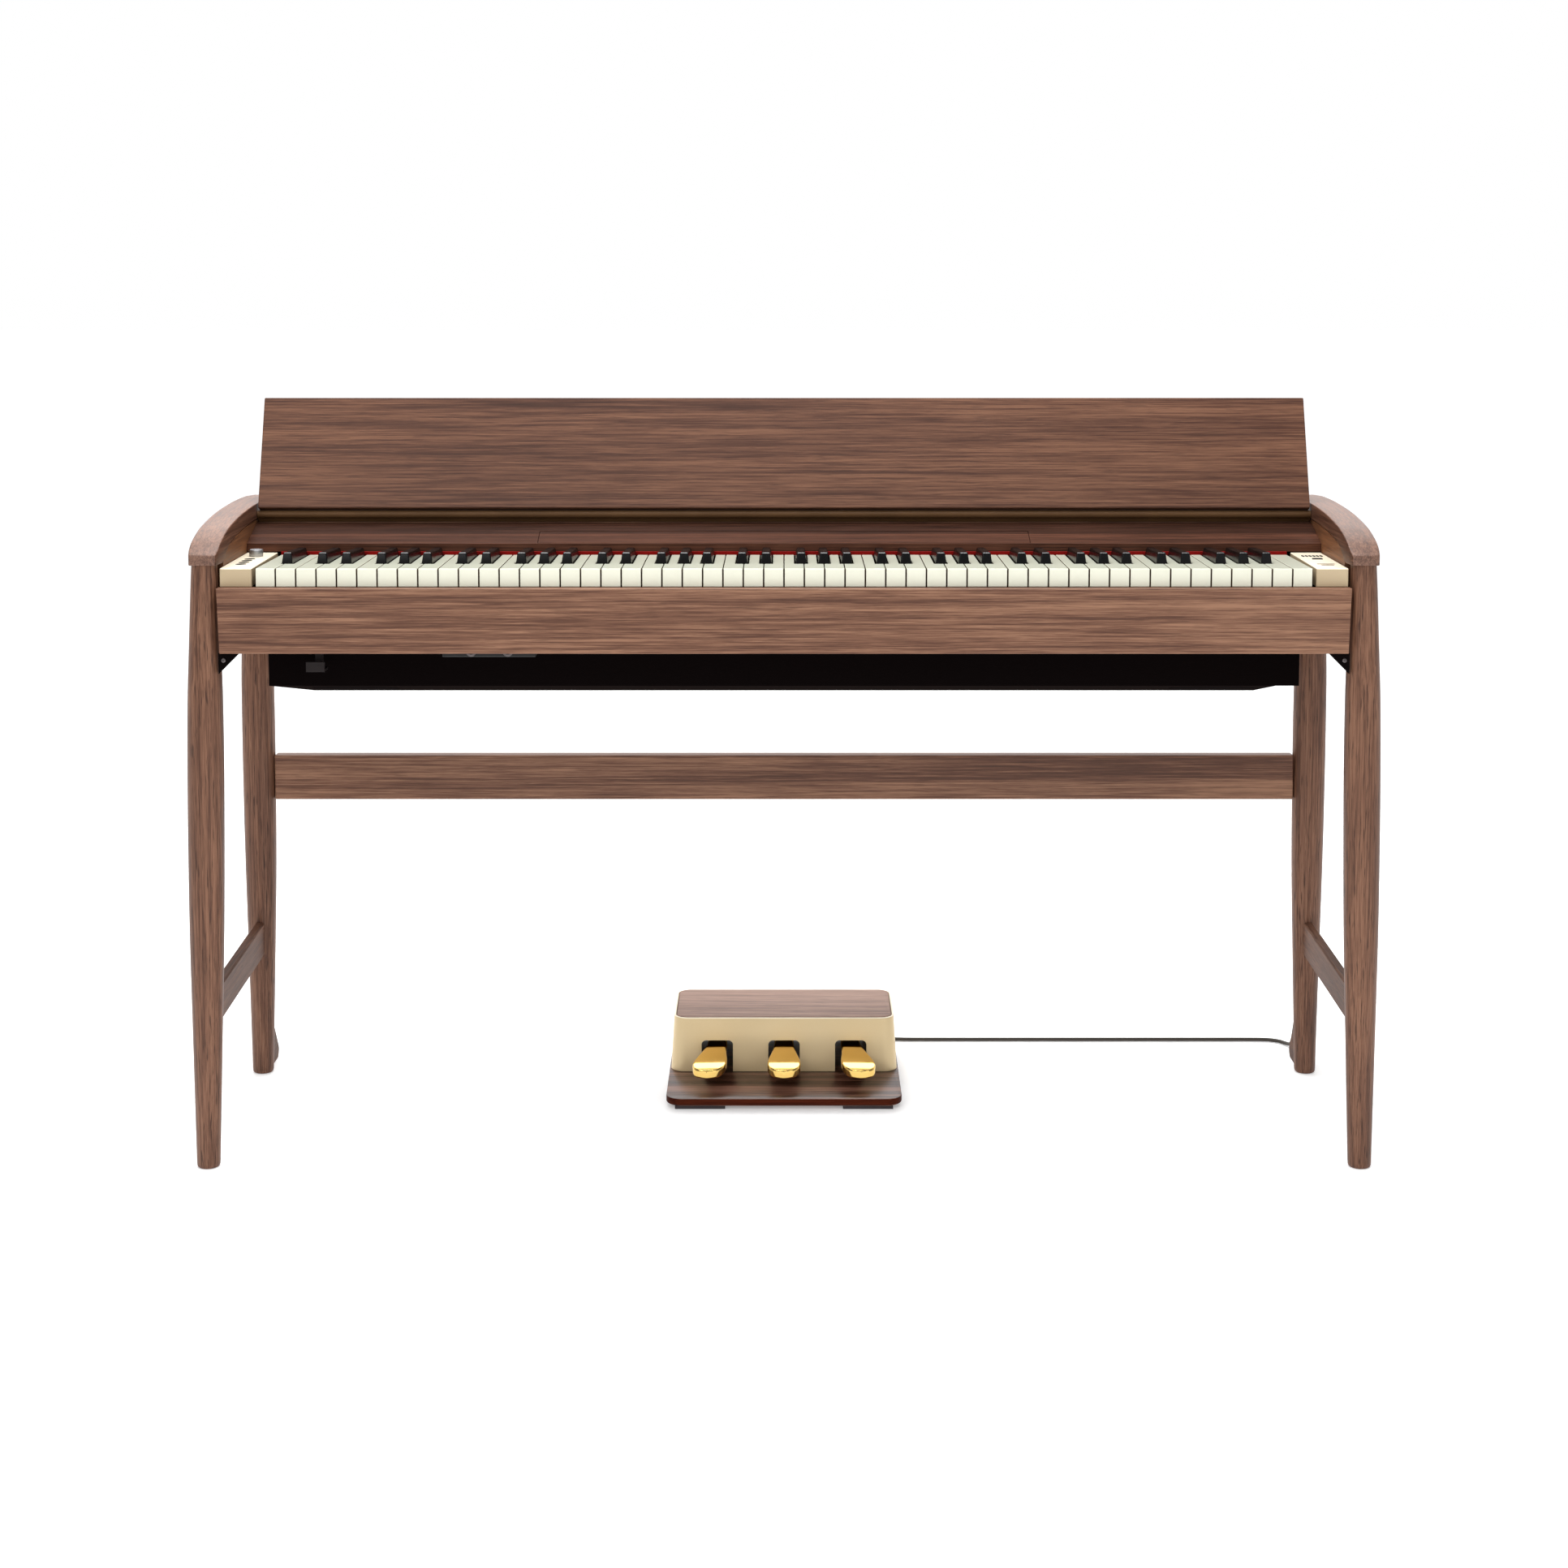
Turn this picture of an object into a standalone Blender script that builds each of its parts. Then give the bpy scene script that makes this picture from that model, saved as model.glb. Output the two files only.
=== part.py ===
"""Digital piano on a four-leg wooden stand, with a folding lid and a separate pedal unit.

Metres, +Z up. The player sits on the -Y side, and X runs along the keyboard from bass (-) to
treble (+). "Behind" means the distance in Y behind the white keys' front faces, and heights in
the cabinet are counted from the white keys' top faces.
"""
import math

import bmesh
import bpy
from mathutils import Matrix, Vector

# ---- driving dimensions ---------------------------------------------------------------------
WHITE_PITCH = 0.02356        # one white key, centre to centre
WHITE_COUNT = 52
KEY_TOP = 0.7145             # white key tops above the floor
KEY_HEIGHT = 0.0215          # front face of a white key
WHITE_LENGTH = 0.152         # visible length of a white key
WHITE_FALL = 0.0024          # how much the visible part of a white key drops to the back
BLACK_START = 0.053          # front of a black key behind the white key fronts
BLACK_END = 0.150
BLACK_RISE = 0.012
BLACK_FALL = 0.0052          # how much a black key's top drops to the back
BLACK_WIDTH = 0.0137
KEY_PIVOT = (0.225, -0.018)  # behind, above: the balance rail that every key tips on
WHITE_NAMES = "ABCDEFG"      # the lowest key is an A
# centres of the black keys in white-key widths to the right of the octave's C
BLACK_CENTRES = {"C": 0.9, "D": 2.1, "F": 3.857, "G": 5.0, "A": 6.143}
WHITE_STEP = {name: k for k, name in enumerate("CDEFGAB")}
MIDDLE_FIRST = 23            # C4 is the 24th white key
MIDDLE_LAST = 29             # B4

LEG_BEHIND_FRONT = 0.006     # leg centre lines
LEG_BEHIND_REAR = 0.353
LEG_WIDEST = 0.0424
FOOT_X_REAR = 0.6885
LEG_TOP_FRONT = 0.0044       # top ends of the front and rear legs above the key tops
LEG_TOP_REAR = 0.0301
LEG_LINE_FRONT = ((0.0, 0.683), (0.719, 0.6728))   # (height, x) of the legs' centre lines
LEG_LINE_REAR = (
    (0.0, FOOT_X_REAR), (0.075, 0.6878), (0.240, 0.6864), (0.350, 0.6860), (0.457, 0.6858),
    (0.560, 0.6853), (0.690, 0.6805), (0.745, 0.6770),
)
PEDAL_BASE_BEHIND = (0.201, 0.450)
FRONT_RAIL_BEHIND = (-0.014, -0.0015)
SIDE_INNER_X = 0.6545        # inner faces of the two side panels
ARM_X = 0.671
ARM_HALF = 0.0175

# the whole object is centred on Y = 0 between the front legs' bellies and the pedal base's back
KEY_FRONT_Y = -(PEDAL_BASE_BEHIND[1] + LEG_BEHIND_FRONT - LEG_WIDEST / 2) / 2

GAP = 0.0004                 # what touching pieces keep between them
KEY_GAP = 0.0005             # half the gap between two neighbouring keys
KEYBOARD_HALF = WHITE_PITCH * WHITE_COUNT / 2
BED_BOTTOM = -0.052
BED_TOP = -0.034
RAIL_BOTTOM = -0.0976
SPEAKER_X = 0.527
SPEAKER_R = 0.0515

# lid: axis of its hinge, and its board in (along the board, out of the front face)
LID_AXIS = (0.2165, 0.0405)
LID_RAIL_R = 0.0046
LID_LEAN = math.radians(22)
LID_HALF = 0.6515
LID_ALONG = (0.0055, 0.1495)
LID_FACE = 0.0092
LID_THICK = 0.015
FLAP_THICK = 0.0115
FLAP_LENGTH = 0.078
FLAP_GAP = 0.0005

# music ledge: inlaid in the sloping name panel, hinged along its front edge
SLOPE_FROM = (0.155, 0.0108)
SLOPE_TO = (0.2125, 0.0293)
LEDGE_HALF = 0.300
LEDGE_ALONG = (0.0030, 0.0365)
LEDGE_THICK = 0.005
LEDGE_AXIS_ALONG = 0.0055

# pedal unit
PEDAL_X = (-0.087, 0.0, 0.087)
PEDAL_NAMES = ("left", "middle", "right")
PEDAL_SPLAY = (-0.0116, 0.0, 0.0116)
PEDAL_PIVOT = (0.395, 0.043)
PEDAL_AXLE_R = 0.003
PLATE_TOP = 0.0138
HOUSING_TOP = 0.0850
HOUSING_WALL = 0.0026
# half width, front, back at the foot and at the top
HOUSING_AT = ((0.1477, 0.3080, 0.4410), (0.1437, 0.3097, 0.4393))
GLAND = (0.105, 0.450, 0.030)
CORD_R = 0.0025

FINISH = {
    "walnut": ((0.180, 0.082, 0.045), 0.45, 0.0),
    "walnut_dark": ((0.080, 0.030, 0.018), 0.40, 0.0),
    "side_wood": ((0.320, 0.160, 0.080), 0.45, 0.0),
    "champagne": ((0.620, 0.470, 0.280), 0.35, 0.6),
    "ivory": ((0.800, 0.780, 0.660), 0.35, 0.0),
    "ebony": ((0.015, 0.015, 0.015), 0.40, 0.0),
    "brass": ((0.800, 0.520, 0.150), 0.15, 1.0),
    "felt": ((0.330, 0.004, 0.004), 0.95, 0.0),
    "black_board": ((0.008, 0.006, 0.006), 0.55, 0.0),
    "black_plastic": ((0.012, 0.012, 0.012), 0.50, 0.0),
    "grey_metal": ((0.200, 0.200, 0.210), 0.35, 0.8),
    "silver": ((0.450, 0.450, 0.460), 0.30, 0.8),
    "rubber": ((0.030, 0.030, 0.032), 0.85, 0.0),
    "cord": ((0.040, 0.034, 0.030), 0.60, 0.0),
}


# ---- shared tools ---------------------------------------------------------------------------
def clear_scene():
    for thing in list(bpy.data.objects):
        bpy.data.objects.remove(thing, do_unlink=True)


def material_for(node, finish):
    """Each node has a material of its own, named after the node."""
    colour, rough, metal = FINISH[finish]
    material = bpy.data.materials.new(node)
    material.use_nodes = True
    shader = material.node_tree.nodes["Principled BSDF"]
    shader.inputs["Base Color"].default_value = (*colour, 1.0)
    shader.inputs["Roughness"].default_value = rough
    shader.inputs["Metallic"].default_value = metal
    return material


def at(x, behind, above):
    """A point of the cabinet: behind the key fronts, above the white key tops."""
    return Vector((x, KEY_FRONT_Y + behind, KEY_TOP + above))


def floor_at(x, behind, height):
    """A point of the stand or the pedal unit: behind the key fronts, above the floor."""
    return Vector((x, KEY_FRONT_Y + behind, height))


def finish_object(node, mesh_data, finish, origin=None, smooth=False):
    """Puts a bmesh into the scene with its origin where the piece turns or at the world's."""
    origin = origin or Vector((0, 0, 0))
    bmesh.ops.translate(mesh_data, vec=-origin, verts=mesh_data.verts)
    bmesh.ops.recalc_face_normals(mesh_data, faces=mesh_data.faces)
    mesh = bpy.data.meshes.new(node)
    mesh_data.to_mesh(mesh)
    mesh_data.free()
    mesh.materials.append(material_for(node, finish))
    if smooth:
        mesh.shade_smooth()
    thing = bpy.data.objects.new(node, mesh)
    thing.location = origin
    bpy.context.collection.objects.link(thing)
    return thing


def loft(node, rings, finish, origin=None, smooth=False, hollow=False):
    """Skins rings of equal length, and closes the two ends, or joins last to first."""
    mesh_data = bmesh.new()
    rows = [[mesh_data.verts.new(point) for point in ring] for ring in rings]
    pairs = list(zip(rows, rows[1:]))
    if hollow:
        pairs.append((rows[-1], rows[0]))
    for low, high in pairs:
        for i in range(len(low)):
            j = (i + 1) % len(low)
            mesh_data.faces.new((low[i], low[j], high[j], high[i]))
    if not hollow:
        mesh_data.faces.new(rows[0])
        mesh_data.faces.new(rows[-1])
    return finish_object(node, mesh_data, finish, origin, smooth)


def prism_x(node, outline, low_x, high_x, finish, origin=None):
    """Extrudes an outline of (Y, Z) points along X."""
    rings = [[Vector((x, y, z)) for y, z in outline] for x in (low_x, high_x)]
    return loft(node, rings, finish, origin)


def bevel(thing, width, segments=2):
    modifier = thing.modifiers.new("edges", "BEVEL")
    modifier.width = width
    modifier.segments = segments
    modifier.limit_method = "ANGLE"
    modifier.angle_limit = math.radians(35)
    return thing


def board(node, low, high, finish, origin=None, edge=0.0015, segments=2):
    """A rectangular board with eased edges."""
    outline = [(low.y, low.z), (high.y, low.z), (high.y, high.z), (low.y, high.z)]
    thing = prism_x(node, outline, low.x, high.x, finish, origin)
    return bevel(thing, edge, segments) if edge else thing


def tilted_board(node, corner, along, out, x_half, size, finish, origin):
    """A board along X whose section starts at corner and runs size[0] along, size[1] out."""
    section = [corner, corner + along * size[0]]
    section += [section[1] + out * size[1], corner + out * size[1]]
    outline = [(point.y, point.z) for point in section]
    return prism_x(node, outline, -x_half, x_half, finish, origin)


def blocks(node, boxes, finish, origin=None, reshape=None):
    """One closed body made of boxes ((x, x), (y, y), (z, z)) that share faces or overlap."""
    cuts = [sorted({round(v, 6) for box in boxes for v in box[k]}) for k in range(3)]
    middles = [[(a + b) / 2 for a, b in zip(cut, cut[1:])] for cut in cuts]

    def is_filled(cell):
        if any(not 0 <= cell[k] < len(middles[k]) for k in range(3)):
            return False
        centre = [middles[k][cell[k]] for k in range(3)]
        return any(all(box[k][0] < centre[k] < box[k][1] for k in range(3)) for box in boxes)

    mesh_data = bmesh.new()
    corners = {}

    def corner(index):
        if index not in corners:
            corners[index] = mesh_data.verts.new([cuts[k][index[k]] for k in range(3)])
        return corners[index]

    for x in range(len(middles[0])):
        for y in range(len(middles[1])):
            for z in range(len(middles[2])):
                if is_filled((x, y, z)):
                    add_cell_faces(mesh_data, corner, is_filled, (x, y, z))
    bmesh.ops.dissolve_limit(
        mesh_data, angle_limit=0.001, verts=mesh_data.verts, edges=mesh_data.edges
    )
    if reshape:
        for vert in mesh_data.verts:
            reshape(vert.co)
    return finish_object(node, mesh_data, finish, origin)


def add_cell_faces(mesh_data, corner, is_filled, cell):
    """Adds the faces of one filled cell whose neighbour is empty."""
    for axis in range(3):
        first, second = [k for k in range(3) if k != axis]
        for side in (0, 1):
            beyond = list(cell)
            beyond[axis] += 1 if side else -1
            if is_filled(tuple(beyond)):
                continue
            loop = []
            for step_one, step_two in ((0, 0), (1, 0), (1, 1), (0, 1)):
                index = list(cell)
                index[axis] += side
                index[first] += step_one
                index[second] += step_two
                loop.append(corner(tuple(index)))
            mesh_data.faces.new(loop)


def ring_z(centre, radius, sides):
    """A level circle of points."""
    turn = 2 * math.pi / sides
    return [
        centre + Vector((math.cos(turn * k), math.sin(turn * k), 0)) * radius
        for k in range(sides)
    ]


def turned(node, centre, profile, finish, tilt=0.0, sides=24, origin=None):
    """A turned piece: (radius, height) points about a vertical axis, tipped about X by tilt."""
    turn = Matrix.Rotation(tilt, 4, "X")
    rings = []
    for radius, height in profile:
        ring = ring_z(Vector((0, 0, height)), radius, sides)
        rings.append([centre + turn @ point for point in ring])
    return loft(node, rings, finish, origin, smooth=True)


def rounded_rectangle(half_x, front, back, radius, height, steps=4):
    """A level rounded rectangle, from front to back behind the key fronts."""
    points = []
    middle_y = KEY_FRONT_Y + (front + back) / 2
    half_y = (back - front) / 2
    for quarter, (sign_x, sign_y) in enumerate(((1, 1), (-1, 1), (-1, -1), (1, -1))):
        for k in range(steps + 1):
            angle = math.pi / 2 * (quarter + k / steps)
            x = sign_x * (half_x - radius) + radius * math.cos(angle)
            y = middle_y + sign_y * (half_y - radius) + radius * math.sin(angle)
            points.append(Vector((x, y, height)))
    return points


def cutter(thing, tool, operation="DIFFERENCE"):
    """Cuts a hidden tool out of a piece, or joins it on."""
    tool.display_type = "WIRE"
    tool.hide_render = True
    modifier = thing.modifiers.new(tool.name, "BOOLEAN")
    modifier.operation = operation
    modifier.solver = "EXACT"
    modifier.object = tool


# ---- stand ----------------------------------------------------------------------------------
def leg_radius_profile(top):
    """(height, diameter) up a leg: a thin foot, a belly below the cabinet, a slim neck."""
    return (
        (0.0, 0.0236),
        (0.0025, 0.0268),
        (0.075, 0.0307),
        (0.174, 0.0354),
        (0.281, 0.0401),
        (0.378, 0.0420),
        (0.474, LEG_WIDEST),
        (0.560, 0.0408),
        (0.615, 0.0372),
        (0.690, 0.0322),
        (top, 0.0297),
    )


def along(line, height):
    """The value at a height on a line of (height, value) points."""
    for (low, low_value), (high, high_value) in zip(line, line[1:]):
        if height <= high:
            return low_value + (high_value - low_value) * (height - low) / (high - low)
    return line[-1][1]


def build_leg(node, side, line, behind, top):
    """A round tapered leg that leans outward from its top to its foot."""
    rings = []
    for height, diameter in leg_radius_profile(top):
        centre = floor_at(side * along(line, height), behind, height)
        rings.append(ring_z(centre, diameter / 2, 20))
    loft(node, rings, "walnut", smooth=True)


def arm_underside():
    """(behind, above) along the underside: flat over both legs, arched between them."""
    return (
        (-0.0125, 0.0048), (-0.010, 0.0048), (-0.004, 0.0048), (0.008, 0.0048),
        (0.0225, 0.0048), (0.035, 0.0130), (0.055, 0.0210), (0.094, 0.0275),
        (0.136, 0.0315), (0.184, 0.0338), (0.242, 0.0350), (0.306, 0.0345),
        (0.336, 0.0305), (0.372, 0.0305), (0.378, 0.0320),
    )


def arm_top(behind):
    """Height of the arm's top face, an arch that is steepest at the nose."""
    points = (
        (-0.0125, 0.0160), (-0.010, 0.0180), (-0.004, 0.0215), (0.008, 0.0280),
        (0.0225, 0.0332), (0.035, 0.0368), (0.055, 0.0414), (0.094, 0.0464),
        (0.136, 0.0504), (0.184, 0.0529), (0.242, 0.0544), (0.306, 0.0539),
        (0.336, 0.0522), (0.372, 0.0494), (0.378, 0.0470),
    )
    return dict(points)[behind]


def build_arm(node, side):
    """An armrest: rounded nose over the front leg, arched top, level bed on both legs."""
    widths = {-0.0125: 0.0140, -0.010: 0.0158, -0.004: 0.0168, 0.008: 0.0174, 0.378: 0.0155}
    edge = 0.0012
    crown = 0.0020
    rings = []
    for behind, low in arm_underside():
        half = widths.get(behind, ARM_HALF)
        high = arm_top(behind)
        section = (
            (-half, low + edge), (-half + edge, low), (half - edge, low), (half, low + edge),
            (half, high - crown), (half - crown, high), (-half + crown, high),
            (-half, high - crown),
        )
        rings.append([at(side * ARM_X + x, behind, z) for x, z in section])
    loft(node, rings, "walnut")


def build_side_stretcher(node, side):
    """A flat rail between a front leg and a rear leg, splayed a little with them."""
    low, high = 0.164, 0.205
    half = 0.00625
    soft = 0.002
    rings = []
    for behind, x in ((0.0252, 0.6795), (0.3338, 0.6859)):
        section = (
            (-half, low), (half, low), (half, high - soft), (half - soft, high),
            (soft - half, high), (-half, high - soft),
        )
        rings.append([floor_at(side * x + dx, behind, z) for dx, z in section])
    loft(node, rings, "walnut")


def build_stabiliser(node, side):
    """A gusset behind a rear leg that keeps the piano from tipping backward."""
    half = 0.0078
    tip = 0.0095
    front = LEG_BEHIND_REAR + 0.0160
    outline = [(front, 0.0), (front, 0.078)]
    for k in range(7):
        angle = math.radians(52 - 142 * k / 6)
        outline.append((0.4085 + tip * math.cos(angle), tip + tip * math.sin(angle)))
    points = [(KEY_FRONT_Y + behind, height) for behind, height in outline]
    x = side * FOOT_X_REAR
    prism_x(node, points, x - half, x + half, "walnut")


def build_stand():
    for side, word in ((-1, "left"), (1, "right")):
        build_leg(
            f"front_leg_{word}", side, LEG_LINE_FRONT, LEG_BEHIND_FRONT,
            KEY_TOP + LEG_TOP_FRONT,
        )
        build_leg(
            f"rear_leg_{word}", side, LEG_LINE_REAR, LEG_BEHIND_REAR,
            KEY_TOP + LEG_TOP_REAR,
        )
        build_arm(f"arm_{word}", side)
        build_side_stretcher(f"side_stretcher_{word}", side)
        build_stabiliser(f"stabiliser_{word}", side)
        build_corner_bracket(f"corner_bracket_{word}", side)
    board(
        "rear_crossbar",
        floor_at(-0.6642, LEG_BEHIND_REAR - 0.010, 0.367),
        floor_at(0.6642, LEG_BEHIND_REAR + 0.010, 0.4255),
        "walnut",
        edge=0.002,
    )


def build_corner_bracket(node, side):
    """A black corner gusset under the front rail, against the leg."""
    reach = 0.024
    outer, top = 0.6550, RAIL_BOTTOM - GAP
    corners = ((outer, top), (outer - reach, top), (outer, top - reach))
    rings = [
        [at(side * x, behind, above) for x, above in corners] for behind in (-0.009, -0.003)
    ]
    loft(node, rings, "black_plastic")


# ---- cabinet --------------------------------------------------------------------------------
def build_side_panel(node, side):
    """A side panel that fills the space under the arm, between the legs."""
    front, back = 0.0252, 0.3334
    outline = [(front, RAIL_BOTTOM), (back, RAIL_BOTTOM), (back, 0.0300)]
    under = [p for p in arm_underside() if front < p[0] < 0.32]
    outline += [(behind, above - 0.0007) for behind, above in reversed(under)]
    outline.append((front, 0.0034))
    points = [(KEY_FRONT_Y + behind, KEY_TOP + above) for behind, above in outline]
    inner, outer = sorted((side * SIDE_INNER_X, side * (SIDE_INNER_X + 0.0135)))
    prism_x(node, points, inner, outer, "side_wood")


def build_keybed():
    """The shelf under the keys, with the raised balance rail that they tip on."""
    step_top = KEY_TOP - 0.0235
    boxes = [
        ((-0.6541, 0.6541), behind_range(-0.0011, 0.3334), above_range(BED_BOTTOM, BED_TOP)),
        ((-0.6120, 0.6120), behind_range(0.2120, 0.2520), (KEY_TOP + BED_TOP, step_top)),
    ]
    blocks("keybed", boxes, "black_board")


def behind_range(low, high):
    return (KEY_FRONT_Y + low, KEY_FRONT_Y + high)


def above_range(low, high):
    return (KEY_TOP + low, KEY_TOP + high)


def build_rear_cover():
    """One L-shaped cover: the deck behind the lid's hinge, and the cabinet's back."""
    boxes = [
        ((-0.6541, 0.6541), behind_range(0.2214, 0.3334), above_range(0.0215, 0.0300)),
        ((-0.6541, 0.6541), behind_range(0.3250, 0.3334), above_range(BED_TOP + GAP, 0.0300)),
    ]
    blocks("rear_cover", boxes, "walnut")


def build_speaker_box():
    """A black trough under the keybed, open at the top, with a sloping underside."""
    half, end_chamfer, end_wall = 0.620, 0.028, 0.035
    top = KEY_TOP + BED_BOTTOM - GAP
    front, knee, back = 0.104, 0.248, 0.325
    lip, low = 0.559, 0.528
    section = ((front, top), (front, lip), (knee, low), (back, low), (back, top))
    shallow = ((front, top), (front, lip), (knee, lip), (back, lip), (back, top))
    rings = []
    for x, outline in (
        (-half, shallow), (end_chamfer - half, section), (half - end_chamfer, section),
        (half, shallow),
    ):
        rings.append([floor_at(x, behind, height) for behind, height in outline])
    box = loft("speaker_box", rings, "black_board")
    wall = 0.009
    over_top = top + 0.040
    inner = (
        (front + wall, over_top), (front + wall, lip + wall), (knee, low + wall),
        (back - wall, low + wall), (back - wall, over_top),
    )
    points = [(KEY_FRONT_Y + behind, height) for behind, height in inner]
    room = prism_x("speaker_room", points, end_wall - half, half - end_wall, "black_board")
    cutter(box, room)
    slope = -math.atan2(lip - low, knee - front)
    for side, word in ((-1, "left"), (1, "right")):
        centre = floor_at(side * SPEAKER_X, (front + knee) / 2, (lip + low) / 2)
        hole_profile = ((SPEAKER_R + 0.001, -0.03), (SPEAKER_R + 0.001, 0.03))
        cutter(box, turned(f"speaker_hole_{word}", centre, hole_profile, "black_board", slope))
        profile = (
            (0.030, 0.0015), (SPEAKER_R - 0.0015, 0.0005), (SPEAKER_R, 0.0015),
            (SPEAKER_R, 0.0070), (0.0350, 0.0220), (0.0260, 0.0220), (0.0260, 0.0340),
        )
        turned(f"speaker_{word}", centre, profile, "black_plastic", slope)


def build_name_panel():
    """The sloping panel behind the keys, with a pocket for the music ledge."""
    outline = (
        (SLOPE_FROM[0], 0.0012), SLOPE_FROM, SLOPE_TO, (0.2208, 0.0293), (0.2208, 0.0183),
        (0.2125, 0.0183), (0.166, 0.0022), (0.166, 0.0012),
    )
    points = [(KEY_FRONT_Y + behind, KEY_TOP + above) for behind, above in outline]
    panel = prism_x("name_panel", points, -0.6541, 0.6541, "walnut_dark")
    along, out, start = slope_axes()
    tool = tilted_board(
        "ledge_pocket", start + along * 0.0016 - out * 0.0065, along, out,
        LEDGE_HALF + 0.0007, (0.0357, 0.03), "walnut_dark", None,
    )
    cutter(panel, tool)


def slope_axes():
    """Unit vectors up the name panel's slope and out of it, and its front edge."""
    start = at(0, *SLOPE_FROM)
    along = (at(0, *SLOPE_TO) - start).normalized()
    out = Vector((0, -along.z, along.y))
    return along, out, start


def build_music_ledge():
    """A strip inlaid flush in the name panel that stands up to hold sheet music."""
    along, out, start = slope_axes()
    middle = -0.0002 - LEDGE_THICK / 2
    axis = start + along * LEDGE_AXIS_ALONG + out * middle
    corner = start + along * LEDGE_ALONG[0] + out * (middle - LEDGE_THICK / 2)
    size = (LEDGE_ALONG[1] - LEDGE_ALONG[0], LEDGE_THICK)
    tilted_board("music_ledge", corner, along, out, LEDGE_HALF, size, "walnut_dark", axis)


def build_control_blocks():
    """The end blocks beside the keyboard: volume knob on the left, power on the right."""
    for side, word in ((-1, "left"), (1, "right")):
        low_x, high_x = sorted((side * 0.6165, side * 0.6535))
        block = board(
            f"control_block_{word}", at(low_x, 0, -KEY_HEIGHT), at(high_x, 0.1545, 0),
            "champagne", edge=0.0006, segments=1,
        )
        if side < 0:
            centre = at(-0.635, 0.117, 0)
            bore = turned("knob_bore", centre, ((0.0036, -0.0062), (0.0036, 0.01)),
                          "champagne", sides=16)
            cutter(block, bore)
        else:
            well = board("button_well", at(0.6296, 0.0856, -0.0045), at(0.6424, 0.0924, 0.01),
                         "champagne", edge=0)
            cutter(block, well)
    knob_profile = (
        (0.0028, -0.0050), (0.0028, 0.0004), (0.0083, 0.0004), (0.0083, 0.0076),
        (0.0076, 0.0084),
    )
    centre = at(-0.635, 0.117, 0)
    turned("volume_knob", centre, knob_profile, "silver", sides=24, origin=centre)
    button = at(0.636, 0.089, 0)
    board("power_button", at(0.630, 0.086, -0.0028), at(0.642, 0.092, 0.0012),
          "black_plastic", origin=button, edge=0.0005, segments=1)


def build_cabinet():
    for side, word in ((-1, "left"), (1, "right")):
        build_side_panel(f"side_panel_{word}", side)
    board(
        "front_rail", at(-0.6568, FRONT_RAIL_BEHIND[0], RAIL_BOTTOM),
        at(0.6568, FRONT_RAIL_BEHIND[1], -KEY_HEIGHT), "walnut", edge=0.0015,
    )
    build_keybed()
    build_rear_cover()
    build_speaker_box()
    build_name_panel()
    build_music_ledge()
    build_control_blocks()
    board("felt_strip", at(-0.6122, 0.1526, -0.0032), at(0.6122, 0.1546, 0.0015), "felt",
          edge=0.0004, segments=1)
    hook = [
        ((-0.5605, -0.5510), behind_range(0.086, 0.089), (0.582, KEY_TOP + BED_BOTTOM - GAP)),
        ((-0.5680, -0.5460), behind_range(0.066, 0.089), (0.582, 0.585)),
        ((-0.5680, -0.5460), behind_range(0.066, 0.069), (0.582, 0.594)),
    ]
    blocks("headphone_hook", hook, "grey_metal")
    board("jack_box", floor_at(-0.401, 0.030, 0.606),
          at(-0.291, 0.075, BED_BOTTOM - GAP), "black_plastic", edge=0.001, segments=1)


# ---- lid ------------------------------------------------------------------------------------
def build_lid():
    """The lid leans back on its hinge, with its front flap folded flat behind it."""
    along = Vector((0, math.sin(LID_LEAN), math.cos(LID_LEAN)))
    front = Vector((0, -math.cos(LID_LEAN), math.sin(LID_LEAN)))
    axis = at(0, *LID_AXIS)
    low, high = LID_ALONG
    lid = tilted_board(
        "lid_main", axis + along * low + front * (LID_FACE - LID_THICK), along, front,
        LID_HALF, (high - low, LID_THICK), "walnut", axis,
    )
    bevel(lid, 0.0015)
    back = LID_FACE - LID_THICK
    flap_axis = axis + along * (high + 0.0004) + front * (back - FLAP_GAP / 2)
    corner = axis + along * (high - 0.0002 - FLAP_LENGTH)
    corner += front * (back - FLAP_GAP - FLAP_THICK)
    flap = tilted_board(
        "lid_flap", corner, along, front, LID_HALF, (FLAP_LENGTH, FLAP_THICK), "walnut",
        flap_axis,
    )
    bevel(flap, 0.0012)
    build_hinge_rail()


def build_hinge_rail():
    """The rail under the lid: a round nose on the hinge's axis and a foot on the deck."""
    outline = []
    for degrees in (68, 90, 112, 135, 158, 180, 202, 225, 248):
        angle = math.radians(degrees)
        outline.append((LID_AXIS[0] + LID_RAIL_R * math.cos(angle),
                        LID_AXIS[1] + LID_RAIL_R * math.sin(angle)))
    outline += [(0.2185, 0.0340), (0.2218, 0.0304), (0.2400, 0.0304), (0.2400, 0.0416),
                (0.2256, 0.0416)]
    points = [(KEY_FRONT_Y + behind, KEY_TOP + above) for behind, above in outline]
    prism_x("lid_hinge_rail", points, -0.6530, 0.6530, "walnut_dark")


# ---- keyboard -------------------------------------------------------------------------------
def white_list():
    """(index, letter, low x, high x) of every white key."""
    keys = []
    for index in range(WHITE_COUNT):
        low = -KEYBOARD_HALF + WHITE_PITCH * index
        keys.append((index, WHITE_NAMES[index % 7], low, low + WHITE_PITCH))
    return keys


def black_list():
    """(index of the white key to its left, letter, centre x) of every black key."""
    keys = []
    for index, letter, low, _ in white_list():
        if letter in BLACK_CENTRES and index < WHITE_COUNT - 1:
            octave_start = low - WHITE_STEP[letter] * WHITE_PITCH
            keys.append((index, letter, octave_start + BLACK_CENTRES[letter] * WHITE_PITCH))
    return keys


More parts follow.
